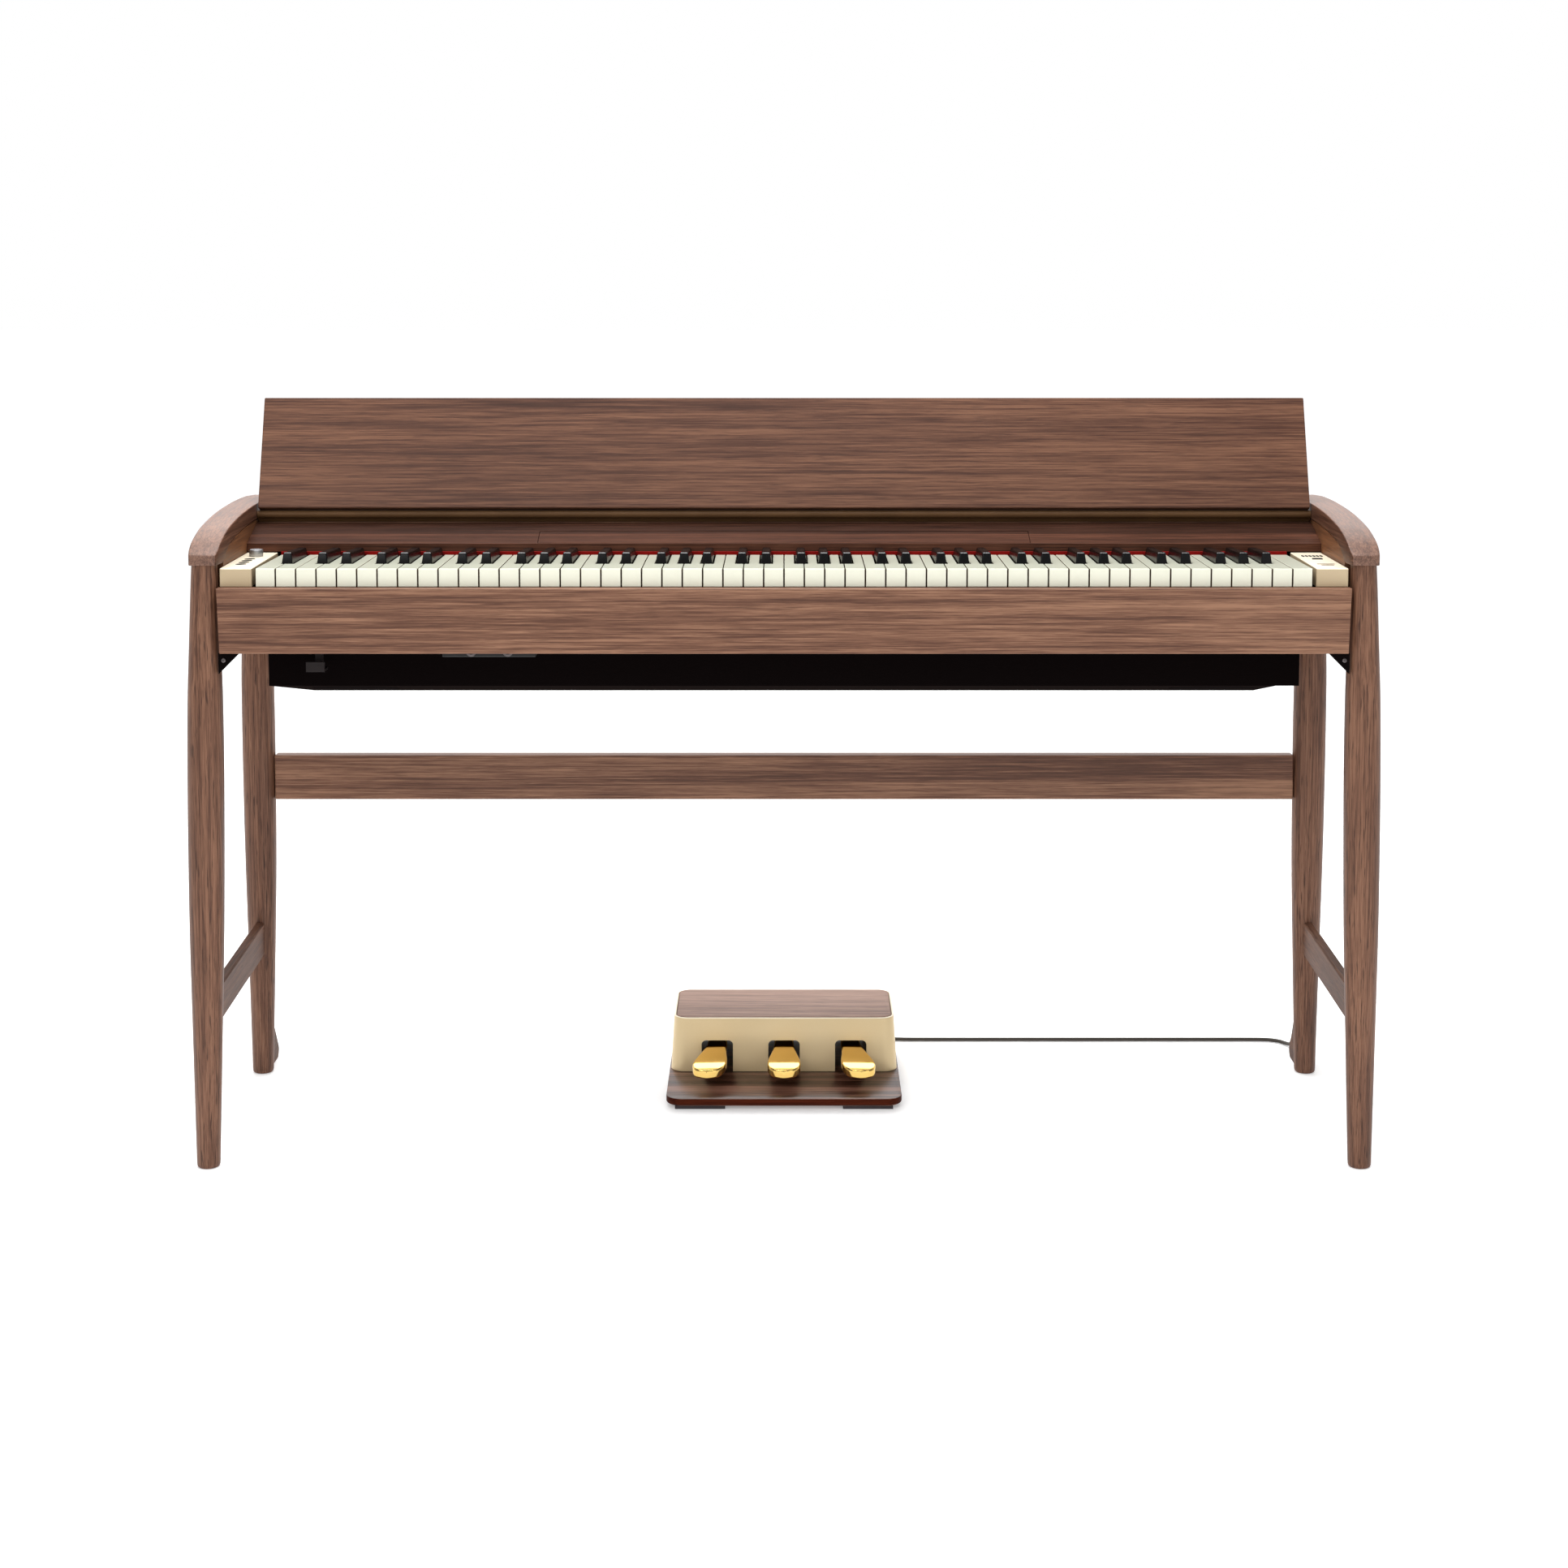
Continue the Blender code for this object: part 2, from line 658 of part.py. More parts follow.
def white_boxes(low, high, blacks):
    """A white key: full-width head, tail between the black keys, lower end under the panel."""
    notch = BLACK_WIDTH / 2 + 0.0009
    low, high = low + KEY_GAP, high - KEY_GAP
    left = max([low] + [x + notch for x in blacks if x - notch < low < x + notch])
    right = min([high] + [x - notch for x in blacks if x - notch < high < x + notch])
    head_end = BLACK_START - 0.0015
    full = above_range(-KEY_HEIGHT, 0)
    return [
        ((low, high), behind_range(0, head_end), full),
        ((left, right), behind_range(head_end, WHITE_LENGTH), full),
        ((left, right), behind_range(WHITE_LENGTH, 0.238), above_range(-KEY_HEIGHT, -0.004)),
    ]


def slope_white(point):
    """Lets the top of a white key's visible part fall towards the back."""
    if point.z > KEY_TOP - 0.0001:
        point.z -= WHITE_FALL * (point.y - KEY_FRONT_Y) / WHITE_LENGTH


def black_boxes(x):
    """A black key: raised cap on a narrow body that runs back to the pivot."""
    cap = BLACK_WIDTH / 2
    body = 0.0050
    cap_range = behind_range(BLACK_START, BLACK_END)
    return [
        ((x - cap, x + cap), cap_range, above_range(-0.0034, BLACK_RISE)),
        ((x - body, x + body), behind_range(0.0560, BLACK_END), above_range(-0.0115, -0.0034)),
        ((x - body, x + body), behind_range(BLACK_END, 0.250), above_range(-0.0115, -0.0040)),
    ]


def taper_black(centres):
    """Narrows the raised part of each black key and slopes its front and its top."""
    top = KEY_TOP + BLACK_RISE

    def reshape(point):
        if point.z > top - 0.0001:
            centre = min(centres, key=lambda x: abs(x - point.x))
            point.x = centre + (point.x - centre) * 0.76
            if point.y < KEY_FRONT_Y + (BLACK_START + BLACK_END) / 2:
                point.y += 0.0035
            else:
                point.z -= BLACK_FALL

    return reshape


def build_keys():
    """Twelve single keys in the middle octave, and a joined comb on each side of it."""
    pivot = at(0, *KEY_PIVOT)
    blacks = [x for _, _, x in black_list()]

    def near(low, high):
        return [x for x in blacks if low - WHITE_PITCH < x < high + WHITE_PITCH]

    groups = {"bass": [], "treble": []}
    for index, letter, low, high in white_list():
        boxes = white_boxes(low, high, near(low, high))
        if MIDDLE_FIRST <= index <= MIDDLE_LAST:
            origin = Vector(((low + high) / 2, pivot.y, pivot.z))
            blocks(f"key_{letter.lower()}4", boxes, "ivory", origin, slope_white)
        else:
            groups["bass" if index < MIDDLE_FIRST else "treble"] += boxes
    for word, boxes in groups.items():
        span = (min(b[0][0] for b in boxes) + 0.002, max(b[0][1] for b in boxes) - 0.002)
        boxes.append((span, behind_range(0.2285, 0.238), above_range(-KEY_HEIGHT, -0.0135)))
        blocks(f"{word}_white_keys", boxes, "ivory", Vector((0, pivot.y, pivot.z)),
               slope_white)

    groups = {"bass": [], "treble": []}
    for index, letter, x in black_list():
        if MIDDLE_FIRST <= index <= MIDDLE_LAST:
            origin = Vector((x, pivot.y, pivot.z))
            blocks(f"key_{letter.lower()}_sharp4", black_boxes(x), "ebony", origin,
                   taper_black([x]))
        else:
            groups["bass" if index < MIDDLE_FIRST else "treble"].append(x)
    for word, centres in groups.items():
        boxes = [box for x in centres for box in black_boxes(x)]
        span = (min(centres) - 0.004, max(centres) + 0.004)
        boxes.append((span, behind_range(0.2405, 0.250), above_range(-0.0115, -0.004)))
        blocks(f"{word}_black_keys", boxes, "ebony", Vector((0, pivot.y, pivot.z)),
               taper_black(centres))


# ---- pedal unit -----------------------------------------------------------------------------
def build_pedal_case():
    """Base plate on two rubber strips, hollow housing with three openings, inlaid top."""
    front, back = PEDAL_BASE_BEHIND
    for side, word in ((-1, "left"), (1, "right")):
        low_x, high_x = sorted((side * 0.0745, side * 0.138))
        board(f"rubber_foot_{word}", floor_at(low_x, 0.204, 0), floor_at(high_x, 0.440, 0.0038),
              "rubber", edge=0)
    base_rings = [
        rounded_rectangle(0.1475, front + 0.002, back - 0.002, 0.018, 0.0042),
        rounded_rectangle(0.1495, front, back, 0.020, 0.0062),
        rounded_rectangle(0.1495, front, back, 0.020, PLATE_TOP - 0.0008),
        rounded_rectangle(0.1487, front + 0.0008, back - 0.0008, 0.0192, PLATE_TOP),
    ]
    loft("pedal_base", base_rings, "walnut_dark")
    shell_rings = []
    for inset, heights in ((0.0, (PLATE_TOP + GAP, HOUSING_TOP)),
                           (HOUSING_WALL, (HOUSING_TOP, PLATE_TOP + GAP))):
        for height in heights:
            half, front, back = HOUSING_AT[height == HOUSING_TOP]
            shell_rings.append(rounded_rectangle(
                half - inset, front + inset, back - inset, 0.018 - inset, height,
            ))
    housing = loft("pedal_housing", shell_rings, "champagne", hollow=True)
    for x, word in zip(PEDAL_X, PEDAL_NAMES):
        opening = board(f"opening_{word}", floor_at(x - 0.0205, 0.300, 0.010),
                        floor_at(x + 0.0205, 0.330, 0.0554), "champagne", edge=0)
        cutter(housing, opening)
    boss = turned("gland_boss", floor_at(GLAND[0], GLAND[1] - 0.0110, GLAND[2]),
                  ((0.0052, 0.0), (0.0052, 0.0070), (0.0042, 0.0110)), "champagne",
                  math.radians(-90), 16)
    cutter(housing, boss, "UNION")
    top_rings = [
        rounded_rectangle(0.1404, 0.3130, 0.4360, 0.0146, HOUSING_TOP - 0.0075),
        rounded_rectangle(0.1404, 0.3130, 0.4360, 0.0146, HOUSING_TOP - 0.0003),
        rounded_rectangle(0.1394, 0.3140, 0.4350, 0.0136, HOUSING_TOP + 0.0007),
    ]
    loft("pedal_top", top_rings, "walnut")


def build_pedals():
    """Three brass levers on one axle, the outer two splayed outward."""
    # behind, half width, underside, top
    stations = (
        (0.4040, 0.0120, 0.0360, 0.0500),
        (0.3860, 0.0120, 0.0360, 0.0500),
        (0.3720, 0.0122, 0.0412, 0.0490),
        (0.3100, 0.0132, 0.0440, 0.0503),
        (0.2850, 0.0163, 0.0415, 0.0482),
        (0.2620, 0.0209, 0.0360, 0.0452),
        (0.2480, 0.0210, 0.0322, 0.0431),
        (0.2395, 0.0183, 0.0303, 0.0417),
        (0.2345, 0.0135, 0.0301, 0.0404),
        (0.2325, 0.0085, 0.0316, 0.0387),
    )
    pivot = floor_at(0, *PEDAL_PIVOT)
    for x, splay, word in zip(PEDAL_X, PEDAL_SPLAY, PEDAL_NAMES):
        rings = []
        for behind, half, low, high in stations:
            lean = splay * max(0.0, 0.310 - behind) / 0.0775
            soft = 0.0015
            section = (
                (-half, low + soft), (soft - half, low), (half - soft, low),
                (half, low + soft), (half, high - soft), (half - soft, high),
                (soft - half, high), (-half, high - soft),
            )
            rings.append([floor_at(x + lean + dx, behind, z) for dx, z in section])
        origin = Vector((x, pivot.y, pivot.z))
        pedal = loft(f"pedal_{word}", rings, "brass", origin)
        tool = axle_rod(f"pedal_bore_{word}", 0.0036, x - 0.02, x + 0.02, "brass")
        cutter(pedal, tool)
    axle_rod("pedal_axle", PEDAL_AXLE_R, -0.1420, 0.1420, "grey_metal")


def axle_rod(node, radius, low_x, high_x, finish):
    pivot = floor_at(0, *PEDAL_PIVOT)
    rings = []
    for x in (low_x, high_x):
        ring = ring_z(Vector((0, 0, 0)), radius, 16)
        rings.append([Vector((x, pivot.y + p.x, pivot.z + p.y)) for p in ring])
    return loft(node, rings, finish, smooth=True)


# route of the pedal cord's centre line (x, behind, height): out of the gland, down to the
# floor, along it, forward behind the right stabiliser, up the back of the rear leg to the plug
CORD_ROUTE = (
    (0.1050, 0.4505, 0.0300), (0.1050, 0.4575, 0.0298), (0.1054, 0.4650, 0.0280),
    (0.1065, 0.4717, 0.0240), (0.1088, 0.4773, 0.0185), (0.1128, 0.4813, 0.0124),
    (0.1190, 0.4834, 0.0070), (0.1280, 0.4833, 0.0037), (0.1420, 0.4812, 0.0027),
    (0.1640, 0.4786, 0.0027), (0.2000, 0.4780, 0.0027), (0.3000, 0.4780, 0.0027),
    (0.4000, 0.4780, 0.0027), (0.5000, 0.4780, 0.0027), (0.6000, 0.4780, 0.0027),
    (0.6400, 0.4780, 0.0027), (0.6640, 0.4765, 0.0027), (0.6785, 0.4690, 0.0028),
    (0.6860, 0.4560, 0.0036), (0.6885, 0.4430, 0.0085), (0.6886, 0.4310, 0.0220),
    (0.6884, 0.4210, 0.0400), (0.6882, 0.4080, 0.0640), (0.6879, 0.3930, 0.0880),
    (0.6875, 0.3835, 0.1150), (0.6872, 0.3800, 0.1500), (0.6865, 0.3800, 0.2300),
    (0.6860, 0.3800, 0.3300), (0.6858, 0.3800, 0.4500), (0.6855, 0.3790, 0.5300),
    (0.6848, 0.3777, 0.5660), (0.6808, 0.3778, 0.5815), (0.6712, 0.3784, 0.5918),
    (0.6570, 0.3795, 0.5948), (0.6400, 0.3802, 0.5928), (0.6225, 0.3798, 0.5915),
    (0.6110, 0.3765, 0.5935), (0.6030, 0.3683, 0.5968), (0.6001, 0.3590, 0.5994),
    (0.6000, 0.3528, 0.6000),
)


def build_cord():
    """The pedal cord as a bevelled curve, and the plug that it ends in."""
    curve = bpy.data.curves.new("pedal_cord", "CURVE")
    curve.dimensions = "3D"
    curve.bevel_depth = CORD_R
    curve.bevel_resolution = 2
    curve.render_resolution_u = 0
    curve.use_fill_caps = True
    points = smooth_route([floor_at(*point) for point in CORD_ROUTE])
    spline = curve.splines.new("POLY")
    spline.points.add(len(points) - 1)
    for knot, point in zip(spline.points, points):
        knot.co = (*point, 1.0)
    curve.materials.append(material_for("pedal_cord", "cord"))
    bpy.context.collection.objects.link(bpy.data.objects.new("pedal_cord", curve))
    profile = ((0.0060, 0.0), (0.0060, 0.0200), (0.0040, 0.0265))
    turned("pedal_plug", floor_at(0.600, 0.3256, 0.600), profile, "black_plastic",
           math.radians(-90), 16)


def smooth_route(knots):
    """Adds a point in the middle of each span, on the curve through its neighbours."""
    points = [knots[0]]
    for k in range(len(knots) - 1):
        before = knots[max(k - 1, 0)]
        start, end = knots[k], knots[k + 1]
        after = knots[min(k + 2, len(knots) - 1)]
        points.append((start + end) * 0.5625 - (before + after) * 0.0625)
        points.append(end)
    return points


def main():
    clear_scene()
    build_stand()
    build_cabinet()
    build_lid()
    build_keys()
    build_pedal_case()
    build_pedals()
    build_cord()


main()
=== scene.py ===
"""Looks of the digital piano: wood, keys, lid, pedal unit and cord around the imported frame.

Metres, in the frame's own axes: X along the keyboard from bass to treble, the player on the
-Y side, +Z up. "Behind" is the distance in Y behind the white keys' front faces, and "above"
is the height over the white keys' top faces.
"""
import math

import bmesh
import bpy
from mathutils import Matrix, Vector


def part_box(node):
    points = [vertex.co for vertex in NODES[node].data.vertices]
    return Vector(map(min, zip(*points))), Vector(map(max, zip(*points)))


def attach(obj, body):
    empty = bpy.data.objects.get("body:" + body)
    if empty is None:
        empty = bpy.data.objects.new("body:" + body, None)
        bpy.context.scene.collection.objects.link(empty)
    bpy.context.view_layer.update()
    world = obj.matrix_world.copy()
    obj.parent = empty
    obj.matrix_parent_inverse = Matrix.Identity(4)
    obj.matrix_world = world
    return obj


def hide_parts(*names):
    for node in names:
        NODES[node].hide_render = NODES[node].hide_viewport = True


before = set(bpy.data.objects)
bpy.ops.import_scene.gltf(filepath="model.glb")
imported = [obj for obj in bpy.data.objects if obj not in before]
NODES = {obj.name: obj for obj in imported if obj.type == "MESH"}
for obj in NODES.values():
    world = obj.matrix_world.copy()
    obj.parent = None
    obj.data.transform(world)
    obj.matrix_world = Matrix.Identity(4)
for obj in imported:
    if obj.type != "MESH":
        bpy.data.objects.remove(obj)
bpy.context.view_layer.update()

# ---- sizes -------------------------------------------
C4_LOW, C4_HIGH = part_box("key_c4")
KEY_FRONT_Y = C4_LOW.y
KEY_TOP = C4_HIGH.z
KEY_HEIGHT = C4_HIGH.z - C4_LOW.z
WHITE_PITCH = 0.02356         # one white key, centre to centre
WHITE_COUNT = 52
WHITE_VISIBLE = 0.152         # length of a white key up to the felt
WHITE_FALL = 0.0024           # how much the visible part of a white key drops to the back
BLACK_WIDTH = 0.0137
BLACK_START = 0.053           # front of a black key behind the white keys' fronts
BLACK_RISE = 0.012
BLACK_FALL = 0.0052           # how much a black key's top drops to the back
MIDDLE = range(23, 30)        # white keys C4 to B4 are single bodies
FRONT_LEG = 0.006             # the legs' centre lines behind the white keys' fronts
REAR_LEG = 0.353
PANEL_SHADE = 0.7340          # above this height the name panel is painted darker, as in the lid's shadow, and below it painted lighter, as lit
PLATE_BOTTOM = 0.0042         # heights over the floor on the pedal unit
PLATE_TOP = 0.0138
HOUSING_BOTTOM = 0.0142
HOUSING_TOP = 0.0850


def at(x, behind, above):
    """A point of the cabinet."""
    return Vector((x, KEY_FRONT_Y + behind, KEY_TOP + above))


def floor_at(x, behind, height):
    """A point of the stand or the pedal unit, by its height over the floor."""
    return Vector((x, KEY_FRONT_Y + behind, height))


# ---- materials ---------------------------------------
def srgb(red, green, blue):
    """A display colour from 0 to 255 as the linear colour that the shader takes."""
    def linear(value):
        value /= 255
        return value / 12.92 if value <= 0.04045 else ((value + 0.055) / 1.055) ** 2.4
    return (linear(red), linear(green), linear(blue), 1.0)


class Graph:
    """A material's node tree, with short calls for the nodes used below."""

    def __init__(self, name, rough=0.5, metal=0.0, colour=(0.5, 0.5, 0.5, 1)):
        self.material = bpy.data.materials.new(name)
        self.material.use_nodes = True
        self.tree = self.material.node_tree
        self.shader = self.tree.nodes["Principled BSDF"]
        self.shader.inputs["Roughness"].default_value = rough
        self.shader.inputs["Metallic"].default_value = metal
        self.shader.inputs["Base Color"].default_value = colour
        self.coords = self.tree.nodes.new("ShaderNodeTexCoord").outputs["Object"]

    def link(self, source, target):
        self.tree.links.new(source, target)

    def stretched(self, scale):
        """The object's coordinates, scaled along each axis."""
        node = self.tree.nodes.new("ShaderNodeMapping")
        node.inputs["Scale"].default_value = scale
        self.link(self.coords, node.inputs["Vector"])
        return node.outputs["Vector"]

    def part(self, vector, axis):
        """One component of a vector."""
        split = self.tree.nodes.new("ShaderNodeSeparateXYZ")
        self.link(vector, split.inputs["Vector"])
        return split.outputs[axis]

    def facing(self, axis, low, high):
        """Goes from 0 to 1 as that part of the surface direction goes from low to high."""
        direction = self.tree.nodes.new("ShaderNodeTexCoord").outputs["Normal"]
        return self.remap(self.part(direction, axis), low, high, 0.0, 1.0)

    def noise(self, vector, scale, detail, rough=0.55, distortion=0.0):
        """Noise from 0 to 1 around 0.5."""
        node = self.tree.nodes.new("ShaderNodeTexNoise")
        node.inputs["Scale"].default_value = scale
        node.inputs["Detail"].default_value = detail
        node.inputs["Roughness"].default_value = rough
        node.inputs["Distortion"].default_value = distortion
        self.link(vector, node.inputs["Vector"])
        return node.outputs["Fac"]

    def maths(self, operation, first, second):
        """A sum, difference or product of sockets or numbers."""
        node = self.tree.nodes.new("ShaderNodeMath")
        node.operation = operation
        for socket, value in zip(node.inputs, (first, second)):
            if isinstance(value, (int, float)):
                socket.default_value = value
            else:
                self.link(value, socket)
        return node.outputs[0]

    def remap(self, value, low, high, to_low, to_high):
        """Maps low...high to to_low...to_high, and holds the ends beyond."""
        node = self.tree.nodes.new("ShaderNodeMapRange")
        for name, number in (("From Min", low), ("From Max", high),
                             ("To Min", to_low), ("To Max", to_high)):
            node.inputs[name].default_value = number
        self.link(value, node.inputs["Value"])
        return node.outputs["Result"]

    def ramp(self, value, stops):
        """A colour ramp through (position, colour) stops."""
        node = self.tree.nodes.new("ShaderNodeValToRGB")
        elements = node.color_ramp.elements
        while len(elements) < len(stops):
            elements.new(0.5)
        for element, (position, colour) in zip(elements, stops):
            element.position = position
            element.color = colour
        self.link(value, node.inputs["Fac"])
        return node.outputs["Color"]

    def mix(self, factor, first, second, blend="MIX"):
        """Goes from the first colour to the second as the factor goes from 0 to 1."""
        node = self.tree.nodes.new("ShaderNodeMix")
        node.data_type = "RGBA"
        node.blend_type = blend
        for socket, value in ((node.inputs["Factor"], factor), (node.inputs[6], first),
                              (node.inputs[7], second)):
            if isinstance(value, (int, float, tuple)):
                socket.default_value = value
            else:
                self.link(value, socket)
        return node.outputs[2]

    def bump(self, height, distance, strength):
        node = self.tree.nodes.new("ShaderNodeBump")
        node.inputs["Distance"].default_value = distance
        node.inputs["Strength"].default_value = strength
        self.link(height, node.inputs["Height"])
        self.link(node.outputs["Normal"], self.shader.inputs["Normal"])

    def colour(self, source):
        self.link(source, self.shader.inputs["Base Color"])

    def roughness(self, source):
        self.link(source, self.shader.inputs["Roughness"])


def along_axis(axis, amount):
    """A scale that stretches a texture along one axis."""
    return tuple(amount if letter == axis else 1 for letter in "XYZ")


def tinted(colour, factor):
    """A lighter or darker version of a colour."""
    return tuple(min(1.0, c * factor) for c in colour[:3]) + (1.0,)


def wood(name, grain, dark, light, pores=0.5, rough=0.45, figure=1.0, gloss=0.25,
         shade_step=None):
    """Oiled walnut: tone bands, straight fine streaks and short dark pores along the grain.

    A shade step is (height, factor below it, factor above it): painted light and shade that
    multiply the colour on either side of that height.
    """
    g = Graph(name, rough)
    along = g.stretched(along_axis(grain, 0.018))
    bands = g.noise(along, 60, 2.0, 0.5, 0.3)
    streaks = g.noise(along, 400, 5.0, 0.74, 0.15)
    hair = g.noise(along, 1300, 2.0, 0.6)
    cloud = g.noise(g.coords, 3.0, 1.0)
    layers = ((bands, 0.30 * figure), (streaks, 0.62), (hair, 0.18), (cloud, 0.14))
    value = 0.0
    for layer, share in layers:
        value = g.maths("ADD", value, g.maths("MULTIPLY", layer, share))
    centre = sum(share for _, share in layers) / 2
    middle = tuple((a * b) ** 0.5 for a, b in zip(dark, light))
    deep = tinted(dark, 0.62)
    base = g.ramp(value, (
        (centre - 0.17, deep), (centre - 0.07, dark), (centre, middle), (centre + 0.10, light),
    ))
    flecks = g.noise(g.stretched(along_axis(grain, 0.05)), 620, 2.0, 0.5)
    pore_mask = g.remap(flecks, 0.585, 0.68, 0.0, pores)
    colour = g.mix(pore_mask, base, tinted(dark, 0.45))
    # painted light and shade: one factor lightens or darkens the colour below the height, the
    # other above it
    if shade_step:
        height, below, above = shade_step
        shade = g.remap(g.part(g.coords, "Z"), height - 0.0006, height + 0.0006, below, above)
        colour = g.mix(1.0, colour, shade, "MULTIPLY")
    g.colour(colour)
    g.roughness(g.remap(streaks, 0.3, 0.7, rough - 0.05, rough + 0.08))
    g.bump(g.maths("SUBTRACT", g.maths("MULTIPLY", streaks, 0.5), pore_mask), 0.00012, 0.5)
    g.shader.inputs["Specular IOR Level"].default_value = gloss
    return g.material


def plastic(name, colour, rough, mottling=0.06, grain=900, bump=0.00003, specular=0.5):
    """Moulded plastic or paint: faint mottling, and a fine texture that varies the gloss."""
    g = Graph(name, rough)
    cloud = g.noise(g.coords, 18, 3.0)
    fine = g.noise(g.coords, grain, 2.0)
    g.colour(g.ramp(cloud, (
        (0.35, tinted(colour, 1 - mottling)), (0.65, tinted(colour, 1 + mottling)),
    )))
    g.roughness(g.remap(fine, 0.3, 0.7, rough - 0.05, rough + 0.06))
    g.bump(fine, bump, 0.5)
    g.shader.inputs["Specular IOR Level"].default_value = specular
    return g.material


def metal(name, colour, rough, brushed=False):
    """Metal with faint scratches, along X if it is brushed."""
    g = Graph(name, rough, 1.0)
    scale = along_axis("X", 0.02 if brushed else 1)
    scratches = g.noise(g.stretched(scale), 700 if brushed else 60, 3.0)
    cloud = g.noise(g.coords, 12, 2.0)
    g.colour(g.ramp(cloud, ((0.35, tinted(colour, 0.95)), (0.65, tinted(colour, 1.05)))))
    change = 0.06 if brushed else 0.03
    g.roughness(g.remap(scratches, 0.3, 0.7, rough - change, rough + change))
    g.bump(scratches, 0.00002, 0.3)
    return g.material


def champagne_paint(name, low, high, top):
    """Satin champagne metal paint with a very fine flake, and a painted highlight: the face at
    height top and its rim are painted near white, as lit from above.
    """
    g = Graph(name, 0.40, 0.20)
    flake = g.noise(g.coords, 2600, 1.0)
    cloud = g.noise(g.coords, 9, 2.0)
    # painted highlight: the top face is painted near white, as lit from above
    painted_top_light = g.remap(g.part(g.coords, "Z"), top - 0.0012, top - 0.0004, 0.0, 1.0)
    paint = g.mix(painted_top_light, g.ramp(cloud, ((0.3, low), (0.7, high))), srgb(243, 233, 210))
    g.colour(g.mix(g.remap(flake, 0.45, 0.75, 0.0, 0.22), paint, tinted(high, 1.15)))
    g.roughness(g.remap(flake, 0.3, 0.7, 0.33, 0.43))
    g.bump(flake, 0.00001, 0.3)
    return g.material


def key_ivory():
    """Matt white key plastic, with painted shade: the tops are darker than the fronts."""
    g = Graph("ivory_keys", 0.24)
    speck = g.noise(g.coords, 1400, 2.0)
    # painted shade: faces turned up are painted darker than the fronts
    shade = g.mix(g.facing("Z", 0.5, 0.95), srgb(227, 228, 210), srgb(186, 189, 173))
    g.colour(g.mix(g.remap(speck, 0.3, 0.7, 0.0, 0.03), shade, srgb(180, 180, 160)))
    g.bump(speck, 0.00002, 0.3)
    return g.material


def key_ebony():
    """Matt black key plastic, polished along the front edge of the top."""
    g = Graph("ebony_keys", 0.26)
    speck = g.noise(g.coords, 2200, 2.0)
    g.colour(g.mix(g.remap(speck, 0.3, 0.7, 0.0, 1.0), srgb(10, 10, 11), srgb(13, 13, 14)))
    g.bump(speck, 0.00002, 0.5)
    edge = g.maths("MULTIPLY", g.facing("Z", 0.35, 0.6), g.facing("Z", 0.97, 0.85))
    edge = g.maths("MULTIPLY", edge, g.facing("Y", -0.15, -0.4))
    g.link(g.remap(edge, 0.0, 1.0, 0.14, 1.0), g.shader.inputs["Specular IOR Level"])
    return g.material


def box_board():
    """Black painted board, with a painted reflection of the floor: its faces turned down are a
    very dark brown.
    """
    g = Graph("box_board", 0.85)
    cloud = g.noise(g.coords, 500, 2.0)
    # painted reflection: faces turned down are painted a lighter brown, as lit from the floor
    # below
    under = g.facing("Z", -0.9, -0.6)
    shade = g.mix(under, srgb(24, 19, 18), srgb(14, 10, 10))
    g.colour(g.mix(g.remap(cloud, 0.3, 0.7, 0.0, 0.1), shade, srgb(6, 5, 5)))
    g.bump(cloud, 0.00008, 0.3)
    g.shader.inputs["Specular IOR Level"].default_value = 0.0
    return g.material


def felt_cloth():
    """Red felt with short fibres."""
    g = Graph("red_felt", 0.95)
    fibres = g.noise(g.stretched((0.5, 1, 1)), 1500, 3.0, 0.7)
    g.colour(g.ramp(fibres, ((0.3, srgb(92, 4, 2)), (0.7, srgb(150, 12, 8)))))
    g.bump(fibres, 0.0002, 0.8)
    g.shader.inputs["Sheen Weight"].default_value = 0.1
    g.shader.inputs["Specular IOR Level"].default_value = 0.1
    return g.material


def speaker_cloth():
    """Black perforated grille: rows of small round holes."""
    g = Graph("speaker_grille", 0.9)
    cells = g.tree.nodes.new("ShaderNodeTexVoronoi")
    cells.inputs["Scale"].default_value = 420
    cells.inputs["Randomness"].default_value = 0.0
    g.link(g.coords, cells.inputs["Vector"])
    holes = g.remap(cells.outputs["Distance"], 0.22, 0.34, 0.0, 1.0)
    g.colour(g.mix(holes, srgb(3, 3, 3), srgb(22, 18, 18)))
    g.bump(holes, 0.0004, 0.8)
    g.shader.inputs["Specular IOR Level"].default_value = 0.0
    return g.material


